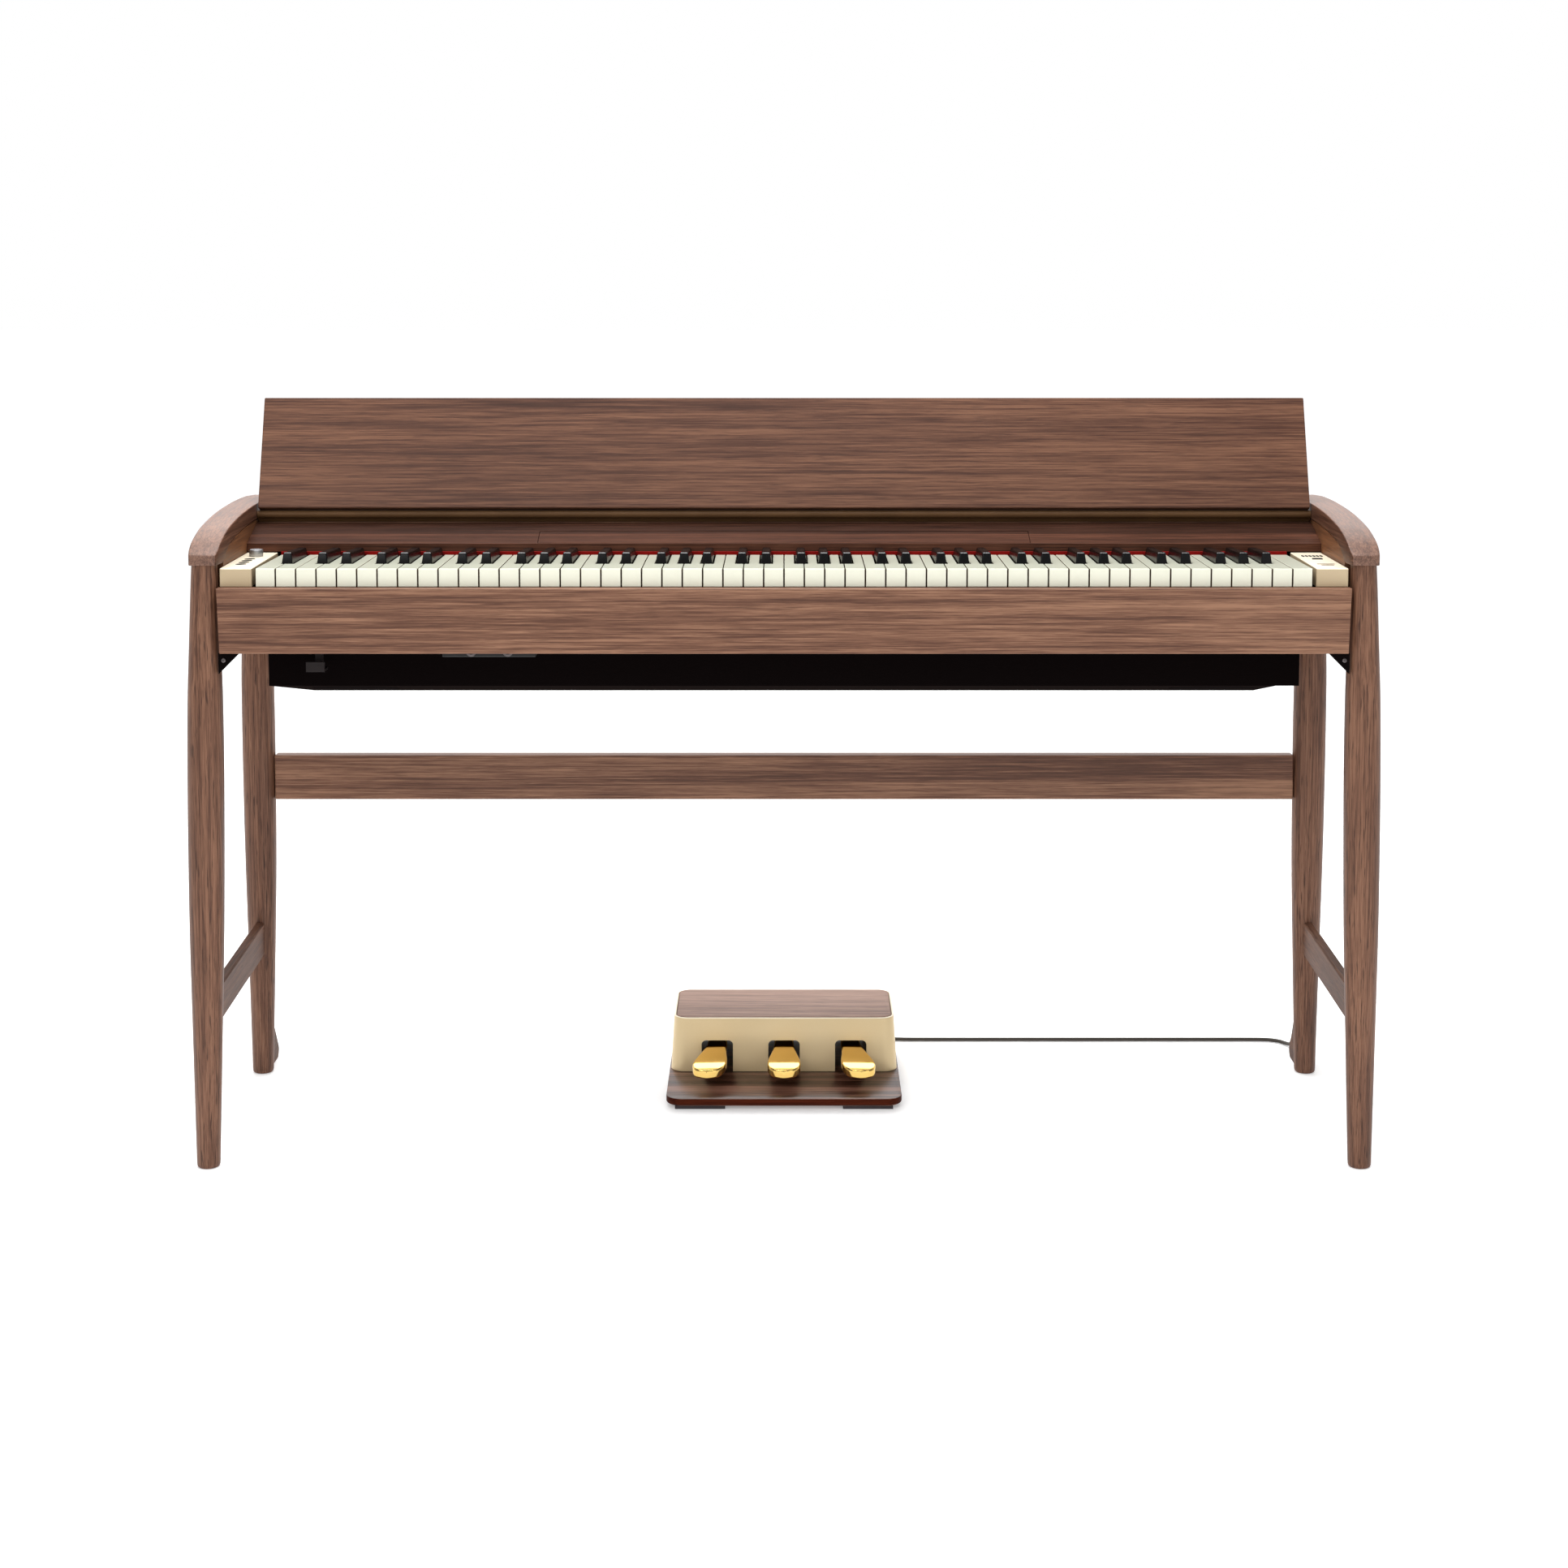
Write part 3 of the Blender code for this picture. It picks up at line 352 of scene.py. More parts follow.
MATERIALS = {
    "lid_wood": wood("lid_wood", "X", srgb(68, 40, 28), srgb(113, 77, 57), pores=0.35),
    "walnut_x": wood("walnut_x", "X", srgb(86, 55, 41), srgb(142, 104, 81), pores=0.30),
    "walnut_y": wood("walnut_y", "Y", srgb(70, 45, 34), srgb(110, 79, 63), pores=0.50,
                     gloss=0.04),
    "walnut_z": wood("walnut_z", "Z", srgb(80, 51, 37), srgb(128, 91, 70), pores=0.85,
                     figure=0.6),
    "arm_walnut": wood("arm_walnut", "Y", srgb(80, 52, 39), srgb(128, 93, 75), pores=0.35,
                       rough=0.5, figure=0.5, gloss=0.5),
    # painted shade for the side faces of the arms
    "arm_shaded_side": wood("arm_shaded_side", "Y", srgb(62, 38, 28), srgb(104, 72, 56), pores=0.5,
                     figure=0.5, gloss=0.15),
    "inlay_walnut": wood("inlay_walnut", "X", srgb(120, 90, 77), srgb(170, 138, 121),
                         pores=0.45, figure=0.6),
    # painted shade: the name panel's walnut is darkened as in the lid's shadow, more above
    # PANEL_SHADE, and painted lighter below it
    "dark_walnut": wood("dark_walnut", "X", srgb(45, 24, 15), srgb(78, 47, 34),
                        pores=0.25, rough=0.45, figure=0.8, gloss=0.12,
                        shade_step=(PANEL_SHADE, 1.3, 0.68)),
    "plate_walnut": wood("plate_walnut", "X", srgb(50, 26, 17), srgb(150, 108, 91),
                         pores=0.3, rough=0.30, figure=1.4, gloss=0.4),
    "plate_edge": wood("plate_edge", "X", srgb(54, 18, 7), srgb(80, 31, 14), pores=0.2,
                       gloss=0.04),
    "side_wood": wood("side_wood", "Y", srgb(84, 52, 31), srgb(124, 82, 54),
                      pores=0.2, figure=0.5),
    # painted shade: a darker wood tone for the sides of the white keys, so the gaps between keys
    # look dark
    "key_shaded_side": wood("key_shaded_side", "Y", srgb(70, 56, 40), srgb(104, 86, 62), pores=0.3),
    "ivory": key_ivory(),
    "ebony": key_ebony(),
    "champagne": champagne_paint("champagne_paint", srgb(219, 195, 150), srgb(227, 204, 160),
                                 HOUSING_TOP),
    "block_paint": champagne_paint("block_paint", srgb(181, 162, 130), srgb(189, 170, 138),
                                   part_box("control_block_left")[1].z),
    "brass": metal("polished_brass", srgb(238, 200, 116), 0.11),
    "silver": metal("satin_silver", srgb(158, 158, 160), 0.46),
    "hook_paint": plastic("hook_paint", srgb(31, 24, 24), 0.50, 0.06, 1200, 0.00003, 0.2),
    "grey_metal": metal("grey_steel", srgb(96, 90, 90), 0.45, brushed=True),
    "felt": felt_cloth(),
    "box_board": box_board(),
    "black_board": plastic("black_board", srgb(14, 10, 10), 0.85, 0.20, 500, 0.00008, 0.0),
    "black_plastic": plastic("black_plastic", srgb(24, 23, 23), 0.48, 0.10, 1200, 0.00003, 0.3),
    "rubber": plastic("rubber", srgb(62, 56, 58), 0.85, 0.10, 900, 0.00010, 0.2),
    "cord": plastic("cord_jacket", srgb(58, 52, 46), 0.50, 0.08, 1600, 0.00003, 0.3),
    "print": plastic("panel_print", srgb(20, 18, 18), 0.70, 0.05, specular=0.05),
    "faint_print": plastic("faint_print", srgb(138, 126, 110), 0.70, 0.05, specular=0.05),
    "bronze": plastic("bronze_rail", srgb(92, 66, 42), 0.45, 0.10, 700, 0.00003, 0.12),
    "grille": speaker_cloth(),
}


# ---- building tools ----------------------------------
def shown(node, material, round_edge=None):
    """Keeps a CAD node as it is, with a better material and softened edges."""
    mesh = NODES[node].data
    mesh.materials.clear()
    mesh.materials.append(MATERIALS[material])
    if round_edge:
        soften(NODES[node], round_edge, 3)


def soften(thing, width, segments):
    """Rounds an object's sharp edges."""
    modifier = thing.modifiers.new("edges", "BEVEL")
    modifier.width, modifier.segments = width, segments
    modifier.limit_method = "ANGLE"
    modifier.angle_limit = math.radians(30)
    modifier.harden_normals = True


def placed(name, data):
    """A new object in the scene."""
    thing = bpy.data.objects.new(name, data)
    bpy.context.scene.collection.objects.link(thing)
    return thing


def placed_mesh(name, mesh_data):
    """A new object in the scene, made of a bmesh, with its faces turned outward."""
    bmesh.ops.recalc_face_normals(mesh_data, faces=mesh_data.faces)
    mesh = bpy.data.meshes.new(name)
    mesh_data.to_mesh(mesh)
    mesh_data.free()
    return placed(name, mesh)


def smoothed(thing, angle):
    """Shades an object smooth, except at edges sharper than an angle in degrees."""
    thing.data.shade_smooth()
    thing.data.set_sharp_from_angle(angle=math.radians(angle))


def piece(name, mesh_data, material, body="root", replaces=(), smooth=30, bevel=None):
    """Makes an object of a bmesh, and lets it ride on its body."""
    thing = placed_mesh(name, mesh_data)
    thing.data.materials.append(MATERIALS[material])
    if bevel:
        soften(thing, *bevel)
    if smooth:
        smoothed(thing, smooth)
    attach(thing, body)
    if replaces:
        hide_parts(*replaces)
    return thing


def second_material(thing, material, test):
    """Gives a second material to the faces whose direction passes a test."""
    thing.data.materials.append(MATERIALS[material])
    for face in thing.data.polygons:
        if test(face.normal):
            face.material_index = 1


def skin(rings, looped=False):
    """A bmesh skinned over rings of equal length, with caps unless the rings form a loop."""
    mesh_data = bmesh.new()
    rows = [[mesh_data.verts.new(point) for point in ring] for ring in rings]
    pairs = list(zip(rows, rows[1:]))
    if looped:
        pairs.append((rows[-1], rows[0]))
    for low, high in pairs:
        for i in range(len(low)):
            j = (i + 1) % len(low)
            mesh_data.faces.new((low[i], low[j], high[j], high[i]))
    if not looped:
        mesh_data.faces.new(rows[0])
        mesh_data.faces.new(rows[-1])
    return mesh_data


def smooth_through(points, value):
    """Catmull-Rom interpolation of (position, number, number, ...) rows at a position."""
    for k in range(len(points) - 1):
        if value <= points[k + 1][0] or k == len(points) - 2:
            break
    start, end = points[k], points[k + 1]
    before, after = points[max(k - 1, 0)], points[min(k + 2, len(points) - 1)]
    span = end[0] - start[0]
    t = min(1.0, max(0.0, (value - start[0]) / span))
    result = []
    for column in range(1, len(start)):
        slope_in = (end[column] - before[column]) / (end[0] - before[0]) * span
        slope_out = (after[column] - start[column]) / (after[0] - start[0]) * span
        h00 = 2 * t ** 3 - 3 * t ** 2 + 1
        h10 = t ** 3 - 2 * t ** 2 + t
        h01 = 3 * t ** 2 - 2 * t ** 3
        h11 = t ** 3 - t ** 2
        result.append(
            h00 * start[column] + h10 * slope_in + h01 * end[column] + h11 * slope_out
        )
    return result


def spread(low, high, count):
    """Evenly spaced numbers from low to high."""
    return [low + (high - low) * k / (count - 1) for k in range(count)]


def circle(centre, radius, sides):
    """Points of a level circle."""
    turn = 2 * math.pi / sides
    return [
        centre + Vector((math.cos(turn * k), math.sin(turn * k), 0)) * radius
        for k in range(sides)
    ]


def turned_rings(centre, turn, profile, sides):
    """Circles of (radius, distance along the axis) rows, whose +Z axis is turned by a matrix."""
    return [
        [centre + turn @ point for point in circle(Vector((0, 0, along)), radius, sides)]
        for radius, along in profile
    ]


def socket_ring(name, centre, profile, material):
    """A ring about +Y whose section is (radius, distance along the axis) points."""
    rings = turned_rings(centre, Matrix.Rotation(math.radians(-90), 4, "X"), profile, 40)
    piece(name, skin(rings, looped=True), material)


def quarter_circle(x, y, radius, quarter, steps):
    """Points of a quarter circle that starts at +X, +Y, -X or -Y for quarter 0, 1, 2 or 3."""
    angles = [math.pi / 2 * (quarter + k / steps) for k in range(steps + 1)]
    return [(x + radius * math.cos(angle), y + radius * math.sin(angle)) for angle in angles]


def rounded_section(half, low, high, soft_low, soft_high, steps=4):
    """(across, up) points of a rounded rectangle with its own radius below and above."""
    points = []
    corners = (
        (half, high, soft_high, 0), (-half, high, soft_high, 1),
        (-half, low, soft_low, 2), (half, low, soft_low, 3),
    )
    for x, z, soft, quarter in corners:
        centre_x = x - math.copysign(soft, x)
        centre_z = z - soft if z == high else z + soft
        points += quarter_circle(centre_x, centre_z, soft, quarter, steps)
    return points


def sweep(points, radii):
    """A tube along points, with a radius at each of them."""
    sides = 20
    turn = 2 * math.pi / sides
    rings = []
    across = Vector((0, 0, 1)).cross(points[1] - points[0])
    for k, point in enumerate(points):
        ahead = points[min(k + 1, len(points) - 1)] - points[max(k - 1, 0)]
        ahead.normalize()
        across = (across - ahead * across.dot(ahead)).normalized()
        up = ahead.cross(across)
        rings.append([
            point + (across * math.cos(turn * j) + up * math.sin(turn * j)) * radii[k]
            for j in range(sides)
        ])
    return skin(rings)


def rounded_plan(half, front, back, radius, height):
    """A level rounded rectangle from front to back behind the key fronts."""
    points = []
    centres = (
        (half - radius, back - radius, 0), (radius - half, back - radius, 1),
        (radius - half, front + radius, 2), (half - radius, front + radius, 3),
    )
    for centre_x, centre_behind, quarter in centres:
        for x, behind in quarter_circle(centre_x, centre_behind, radius, quarter, 10):
            points.append(floor_at(x, behind, height))
    return points


def inset_plans(half, front, back, radius, rows):
    """Rounded rectangles at (height, inset) rows, each smaller all round by its inset."""
    return [
        rounded_plan(half - inset, front + inset, back - inset, radius - inset, height)
        for height, inset in rows
    ]


# ---- stand -------------------------------------------
LEG_PROFILE = (
    # height, diameter
    (0.0, 0.0272), (0.075, 0.0307), (0.174, 0.0354), (0.281, 0.0401), (0.378, 0.0420),
    (0.474, 0.0424), (0.560, 0.0408), (0.615, 0.0372), (0.690, 0.0322),
)
LEG_TOP_DIAMETER = 0.0297
FOOT_PROFILE = ((0.0, 0.0238), (0.0008, 0.0256), (0.0022, 0.0268))
# (height, x) of the legs' centre lines
LEG_LINE_FRONT = ((0.0, 0.6825), (0.719, 0.6722))
LEG_LINE_REAR = (
    (0.0, 0.6885), (0.075, 0.6878), (0.240, 0.6864), (0.350, 0.6860), (0.457, 0.6858),
    (0.560, 0.6853), (0.690, 0.6805), (0.745, 0.6770),
)


def make_leg(node, side, line, behind):
    """A turned leg with a smooth belly and a soft edge round its foot."""
    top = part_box(node)[1].z
    profile = LEG_PROFILE + ((top, LEG_TOP_DIAMETER),)
    shape = list(FOOT_PROFILE)
    for height in spread(0.006, top, 44):
        shape.append((height, smooth_through(profile, height)[0]))
    rings = []
    for height, diameter in shape:
        x = side * smooth_through(line, height)[0]
        rings.append(circle(floor_at(x, behind, height), diameter / 2, 40))
    piece(f"{node}_turning", skin(rings), "walnut_z", replaces=[node], smooth=60)


ARM_LINE = (
    # behind, underside, top, half width
    (-0.0125, 0.0052, 0.0156, 0.0140), (-0.0119, 0.0048, 0.0165, 0.0150),
    (-0.0100, 0.0048, 0.0181, 0.0159), (-0.0040, 0.0048, 0.0216, 0.0169),
    (0.0080, 0.0048, 0.0280, 0.0174), (0.0225, 0.0052, 0.0332, 0.0175),
    (0.0350, 0.0130, 0.0367, 0.0175), (0.0550, 0.0210, 0.0413, 0.0175),
    (0.0940, 0.0275, 0.0464, 0.0175), (0.1360, 0.0315, 0.0504, 0.0175),
    (0.1840, 0.0338, 0.0529, 0.0175), (0.2420, 0.0350, 0.0544, 0.0175),
    (0.3060, 0.0345, 0.0539, 0.0175), (0.3360, 0.0305, 0.0522, 0.0175),
    (0.3720, 0.0305, 0.0494, 0.0175), (0.3780, 0.0320, 0.0470, 0.0155),
)


def make_arm(side):
    """An arched armrest, with painted shade on its sides: they take a darker copy of its walnut.
    """
    soft_below, soft_above = 0.0010, 0.0018
    node = f"arm_{'left' if side < 0 else 'right'}"
    low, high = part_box(node)
    x = (low.x + high.x) / 2
    stations = [-0.0125, -0.0122, -0.0117, -0.0110]
    stations += spread(-0.0095, 0.372, 58)
    stations += [0.375, 0.3772, 0.378]
    rings = []
    for behind in stations:
        under, top, half = smooth_through(ARM_LINE, behind)
        section = rounded_section(half, under, top, soft_below, soft_above)
        rings.append([at(x + dx, behind, z) for dx, z in section])
    arm = piece(f"{node}_carving", skin(rings), "arm_walnut", replaces=[node],
                smooth=40)
    # painted shade: the side faces take the darker walnut
    second_material(arm, "arm_shaded_side", lambda normal: abs(normal.x) > 0.8)


def make_screw(name, centre, radius, facing):
    """A domed cross-head screw whose head faces the given way."""
    slot_height, slot_depth = 0.00165, 0.0003
    profile = ((radius, 0.0), (radius, 0.0006), (radius * 0.8, 0.0013), (radius * 0.35, 0.0017))
    turn = Vector((0, 0, 1)).rotation_difference(Vector(facing)).to_matrix()
    piece(name, skin(turned_rings(centre, turn, profile, 20)), "grey_metal", smooth=50)
    slots = bmesh.new()
    for wide, tall in ((0.9, 0.2), (0.2, 0.9)):
        size = Matrix.Diagonal((wide * radius, tall * radius, slot_depth))
        for vert in bmesh.ops.create_cube(slots, size=1.0)["verts"]:
            vert.co = centre + turn @ (size @ vert.co + Vector((0, 0, slot_height)))
    piece(f"{name}_slot", slots, "black_plastic", smooth=0)


def make_stand():
    """The legs, arms, stretchers, brackets and crossbar."""
    for side, word in ((-1, "left"), (1, "right")):
        make_leg(f"front_leg_{word}", side, LEG_LINE_FRONT, FRONT_LEG)
        make_leg(f"rear_leg_{word}", side, LEG_LINE_REAR, REAR_LEG)
        make_arm(side)
        shown(f"side_stretcher_{word}", "walnut_y", 0.0015)
        shown(f"stabiliser_{word}", "walnut_y", 0.0015)
        shown(f"corner_bracket_{word}", "black_board")
        low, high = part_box(f"corner_bracket_{word}")
        from_end, from_top = 0.006, 0.008
        x = high.x - from_end if side > 0 else low.x + from_end
        spot = Vector((x, low.y, high.z - from_top))
        make_screw(f"bracket_screw_{word}", spot, 0.0028, (0, -1, 0))
    shown("rear_crossbar", "walnut_x", 0.0008)


# ---- cabinet -----------------------------------------
CABINET = (
    ("keybed", "black_board", None), ("rear_cover", "walnut_x", 0.0008),
    ("side_panel_left", "side_wood", 0.0006), ("side_panel_right", "side_wood", 0.0006),
    ("control_block_left", "block_paint", 0.0004),
    ("control_block_right", "block_paint", 0.0004),
    ("name_panel", "dark_walnut", 0.0016), ("music_ledge", "dark_walnut", 0.0006),
    ("felt_strip", "felt", None), ("lid_hinge_rail", "bronze", None),
    ("lid_main", "lid_wood", 0.0010), ("lid_flap", "lid_wood", 0.0010),
    ("speaker_box", "box_board", None), ("speaker_left", "black_plastic", None),
    ("speaker_right", "black_plastic", None), ("jack_box", "black_plastic", None),
    ("headphone_hook", "hook_paint", 0.0004), ("power_button", "black_plastic", None),
)


def make_cabinet():
    """The boards, the lid and the fittings, and the front rail with its slanted ends."""
    for node, material, round_edge in CABINET:
        shown(node, material, round_edge)
    low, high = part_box("front_rail")
    soft = 0.0008
    half_above, half_below = high.x - 0.0020, high.x - 0.0043
    section = []
    for y, z in (
        (low.y + soft, low.z), (low.y, low.z + soft), (low.y, high.z - soft),
        (low.y + soft, high.z), (high.y, high.z), (high.y, low.z),
    ):
        share = (high.z - z) / (high.z - low.z)
        section.append((half_above + (half_below - half_above) * share, y, z))
    ends = [[Vector((side * half, y, z)) for half, y, z in section] for side in (-1, 1)]
    piece("front_rail_board", skin(ends), "walnut_x", replaces=["front_rail"],
          smooth=20)


# ---- keys --------------------------------------------
# centres of the black keys, in white keys from their octave's C
BLACK_CENTRES = {"C": 0.9, "D": 2.1, "F": 3.857, "G": 5.0, "A": 6.143}
KEY_GAP = 0.001               # between neighbouring white keys
SIDE_GAP = 0.0012             # beside a black key


def white_letter(index):
    """The note name of a white key, counted from the lowest A."""
    return "ABCDEFG"[index % 7]


def white_low(index):
    """X of the line between a white key and its left neighbour."""
    return (index - WHITE_COUNT / 2) * WHITE_PITCH


def black_centres():
    """(index of the white key to its left, centre x) of the 36 black keys."""
    found = []
    for index in range(WHITE_COUNT - 1):
        letter = white_letter(index)
        if letter in BLACK_CENTRES:
            octave = white_low(index) - "CDEFGAB".index(letter) * WHITE_PITCH
            found.append((index, octave + BLACK_CENTRES[letter] * WHITE_PITCH))
    return found


def key_body(index, sharp):
    """The CAD body that a key belongs to."""
    if index in MIDDLE:
        return f"key_{white_letter(index).lower()}{'_sharp' if sharp else ''}4"
    colour = "black" if sharp else "white"
    return f"{'bass' if index < MIDDLE.start else 'treble'}_{colour}_keys"


def make_white_key(index, blacks):
    """A white key: full-width head and a tail between the black keys, edges rounded."""
    low = white_low(index) + KEY_GAP / 2
    high = white_low(index + 1) - KEY_GAP / 2
    notch = BLACK_WIDTH / 2 + SIDE_GAP
    left = max([low] + [x + notch for x in blacks if x - notch < low < x + notch])
    right = min([high] + [x - notch for x in blacks if x - notch < high < x + notch])
    head_end = BLACK_START - 0.0015
    outline = [(low, 0), (high, 0), (high, head_end)]
    if right < high:
        outline.append((right, head_end))
    outline += [(right, WHITE_VISIBLE), (left, WHITE_VISIBLE)]
    if left > low:
        outline.append((left, head_end))
    outline.append((low, head_end))
    rings = [[at(x, behind, -KEY_HEIGHT) for x, behind in outline]]
    rings.append([at(x, behind, -WHITE_FALL * behind / WHITE_VISIBLE) for x, behind in outline])
    body = key_body(index, False)
    key = piece(f"white_key_{index + 1:02d}", skin(rings), "ivory", body=body,
                replaces=[body], smooth=35, bevel=(0.0009, 3))
    # painted shade: the side faces take a darker wood tone, for the gaps between keys
    second_material(key, "key_shaded_side", lambda normal: abs(normal.x) > 0.9)


def make_black_key(number, index, x):
    """A black key: tapered sides, a sloping front and softly rounded top edges."""
    base, top, end = BLACK_WIDTH * 0.47, BLACK_WIDTH * 0.34, 0.150
    levels = (
        # height at the front and at the back, half width, front, back
        (-0.0100, -0.0100, base, BLACK_START + 0.0002, end),
        (-0.0010, -0.0010, base, BLACK_START, end),
        (BLACK_RISE, BLACK_RISE - BLACK_FALL, top, BLACK_START + 0.0035, end - 0.0005),
    )
    rings = []
    for above, above_back, half, front, back in levels:
        corners = ((-half, front, above), (half, front, above),
                   (half, back, above_back), (-half, back, above_back))
        rings.append([at(x + dx, behind, z) for dx, behind, z in corners])
    body = key_body(index, True)
    piece(f"black_key_{number:02d}", skin(rings), "ebony", body=body,
          replaces=[body], smooth=35, bevel=(0.0014, 4))


def make_keys():
    """All 88 keys."""
    centres = black_centres()
    for index in range(WHITE_COUNT):
        near = [x for _, x in centres if abs(x - white_low(index)) < 0.05]
        make_white_key(index, near)
    for number, (index, x) in enumerate(centres, 1):
        make_black_key(number, index, x)


# ---- controls ----------------------------------------
def make_mark(name, x, behind, half_x, half_y, material, slant=0.0, power=2.0):
    """A thin raised mark on a control block; a higher power makes it squarer."""
    sides = 28
    rings = []
    for shrink, above in ((1.0, -0.0001), (1.0, 0.00032), (0.92, 0.00040)):
        ring = []
        for k in range(sides):
            angle = 2 * math.pi * k / sides
            dx = math.copysign(abs(math.cos(angle)) ** (2 / power), math.cos(angle))
            dy = math.copysign(abs(math.sin(angle)) ** (2 / power), math.sin(angle))
            dx, dy = dx * half_x * shrink, dy * half_y * shrink
            ring.append(at(x + dx + slant * dy, behind + dy, above))
        rings.append(ring)
    piece(name, skin(rings), material)


def make_knob():
    """The volume knob, knurled round its side and dished on top."""
    centre = at(-0.635, 0.117, 0)
    sides = 120
    rings = []
    for radius, height, knurl in (
        (0.0028, -0.0050, 0.0), (0.0028, 0.0004, 0.0), (0.0080, 0.0004, 0.0),
        (0.0083, 0.0008, 0.00016), (0.0083, 0.0075, 0.00016), (0.0080, 0.0081, 0.0),
        (0.0074, 0.0084, 0.0), (0.0070, 0.0082, 0.0), (0.0010, 0.0082, 0.0),
    ):
        ring = []
        for k in range(sides):
            reach = radius - knurl * (k % 2)
            angle = 2 * math.pi * k / sides
            around = Vector((math.cos(angle) * reach, math.sin(angle) * reach, height))
            ring.append(centre + around)
        rings.append(ring)
    piece("volume_knob_cap", skin(rings), "silver", body="volume_knob",
          replaces=["volume_knob"])


def make_marks():
    """The touch marks on the left block, and the lamps and plain bars on the right block."""
    for number, behind in enumerate(spread(0.040, 0.0895, 4), 1):
        make_mark(f"touch_mark_{number}", -0.637, behind, 0.0060, 0.0052, "print", 0.25)
    for number, x in enumerate(spread(0.6245, 0.6464, 6), 1):
        make_mark(f"lamp_{number}", x, 0.118, 0.0017, 0.0066, "print")
    for number, (behind, half) in enumerate(((0.0415, 0.0105), (0.0310, 0.0075)), 1):
        make_mark(f"plain_bar_{number}", 0.636, behind, half, 0.0026, "faint_print", 0.0, 6.0)


def make_phone_sockets():
    """Metal rings round the two headphone sockets in the jack box."""
    profile = ((0.0034, 0.0004), (0.0034, 0.0), (0.0060, 0.0), (0.0064, -0.0006),
               (0.0060, -0.0014), (0.0038, -0.0016), (0.0034, -0.0010))
    for number, x in enumerate((-0.367, -0.324), 1):
        centre = floor_at(x, 0.0302, 0.6130)
        socket_ring(f"phone_socket_{number}", centre, profile, "grey_metal")


def make_speakers():
    """Perforated grilles in the sloping underside of the speaker box."""
    fall, run = 0.031, 0.144
    turn = Matrix.Rotation(-math.atan2(fall, run), 4, "X")
    profile = ((0.0512, 0.0004), (0.0512, -0.0004), (0.0495, -0.0009), (0.0250, -0.0014))
    for word in ("left", "right"):
        low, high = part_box(f"speaker_{word}")
        centre = floor_at((low.x + high.x) / 2, 0.176, 0.5435)
        rings = turned_rings(centre, turn, profile, 64)
        piece(f"speaker_grille_{word}", skin(rings), "grille")


LID_AXIS = (0.2165, 0.0405)           # the lid's hinge axis: behind, above
LID_LEAN = math.radians(22)


def make_lid_hinges():
    """Three thin brass hinges let into the meeting edges of the lid and its flap."""
    along = Vector((0, math.sin(LID_LEAN), math.cos(LID_LEAN)))
    front = Vector((0, -math.cos(LID_LEAN), math.sin(LID_LEAN)))
    axis = at(0, *LID_AXIS)
    leaves = (
        # body, distance from the lid's axis, low and high edge of the leaf
        ("lid_main", 0.1495, 0.0, 0.0085), ("lid_flap", 0.1493, -0.0085, -0.0005),
    )
    for number, x in enumerate((-0.46, 0.0, 0.46), 1):
        for body, height, low, high in leaves:
            rings = []
            for lift in (0.0, 0.0003):
                corner = axis + along * (height + lift) + front * -0.0058
                rings.append([
                    corner + Vector((x + dx, 0, 0)) + front * out
                    for dx, out in ((-0.025, low), (0.025, low), (0.025, high), (-0.025, high))
                ])
            piece(f"{body}_hinge_{number}", skin(rings), "brass", body=body, smooth=0)


def make_back():
    """Screws that hold the rear cover and the speaker box, and the cord's socket."""
    narrower = 0.955          # how the box's row of screws compares to the cover's
    backward = (0, 1, 0)
    for number, x in enumerate(spread(-0.62, 0.62, 7), 1):
        make_screw(f"cover_screw_{number}", at(x, 0.3334, 0.010), 0.0032, backward)
        spot = floor_at(x * narrower, 0.325, 0.648)
        make_screw(f"box_screw_{number}", spot, 0.0030, backward)
    profile = ((0.0064, -0.0002), (0.0064, 0.0022), (0.0092, 0.0022),
               (0.0098, 0.0016), (0.0098, -0.0002))
    socket_ring("cord_socket", floor_at(0.600, 0.3252, 0.600), profile, "black_plastic")


# ---- pedal unit --------------------------------------
PEDALS = (
    # word, x, how far the toe stands out to the side
    ("left", -0.087, -0.0116), ("middle", 0.0, 0.0), ("right", 0.087, 0.0116),
)
PEDAL_LINE = (
    # behind, half width, underside, top
    (0.2325, 0.0010, 0.0303, 0.0388), (0.2327, 0.0040, 0.0302, 0.0392),
    (0.2332, 0.0075, 0.0301, 0.0397), (0.2341, 0.0105, 0.0301, 0.0402),
    (0.2355, 0.0133, 0.0302, 0.0407), (0.2375, 0.0158, 0.0305, 0.0412),
    (0.2400, 0.0178, 0.0310, 0.0418), (0.2430, 0.0194, 0.0318, 0.0424),
    (0.2470, 0.0206, 0.0328, 0.0430), (0.2520, 0.0213, 0.0339, 0.0439),
    (0.2620, 0.0209, 0.0360, 0.0452), (0.2720, 0.0191, 0.0388, 0.0466),
    (0.2850, 0.0163, 0.0415, 0.0482), (0.3100, 0.0132, 0.0440, 0.0503),
    (0.3720, 0.0122, 0.0412, 0.0490), (0.3860, 0.0120, 0.0360, 0.0500),
    (0.4040, 0.0120, 0.0360, 0.0500),
)


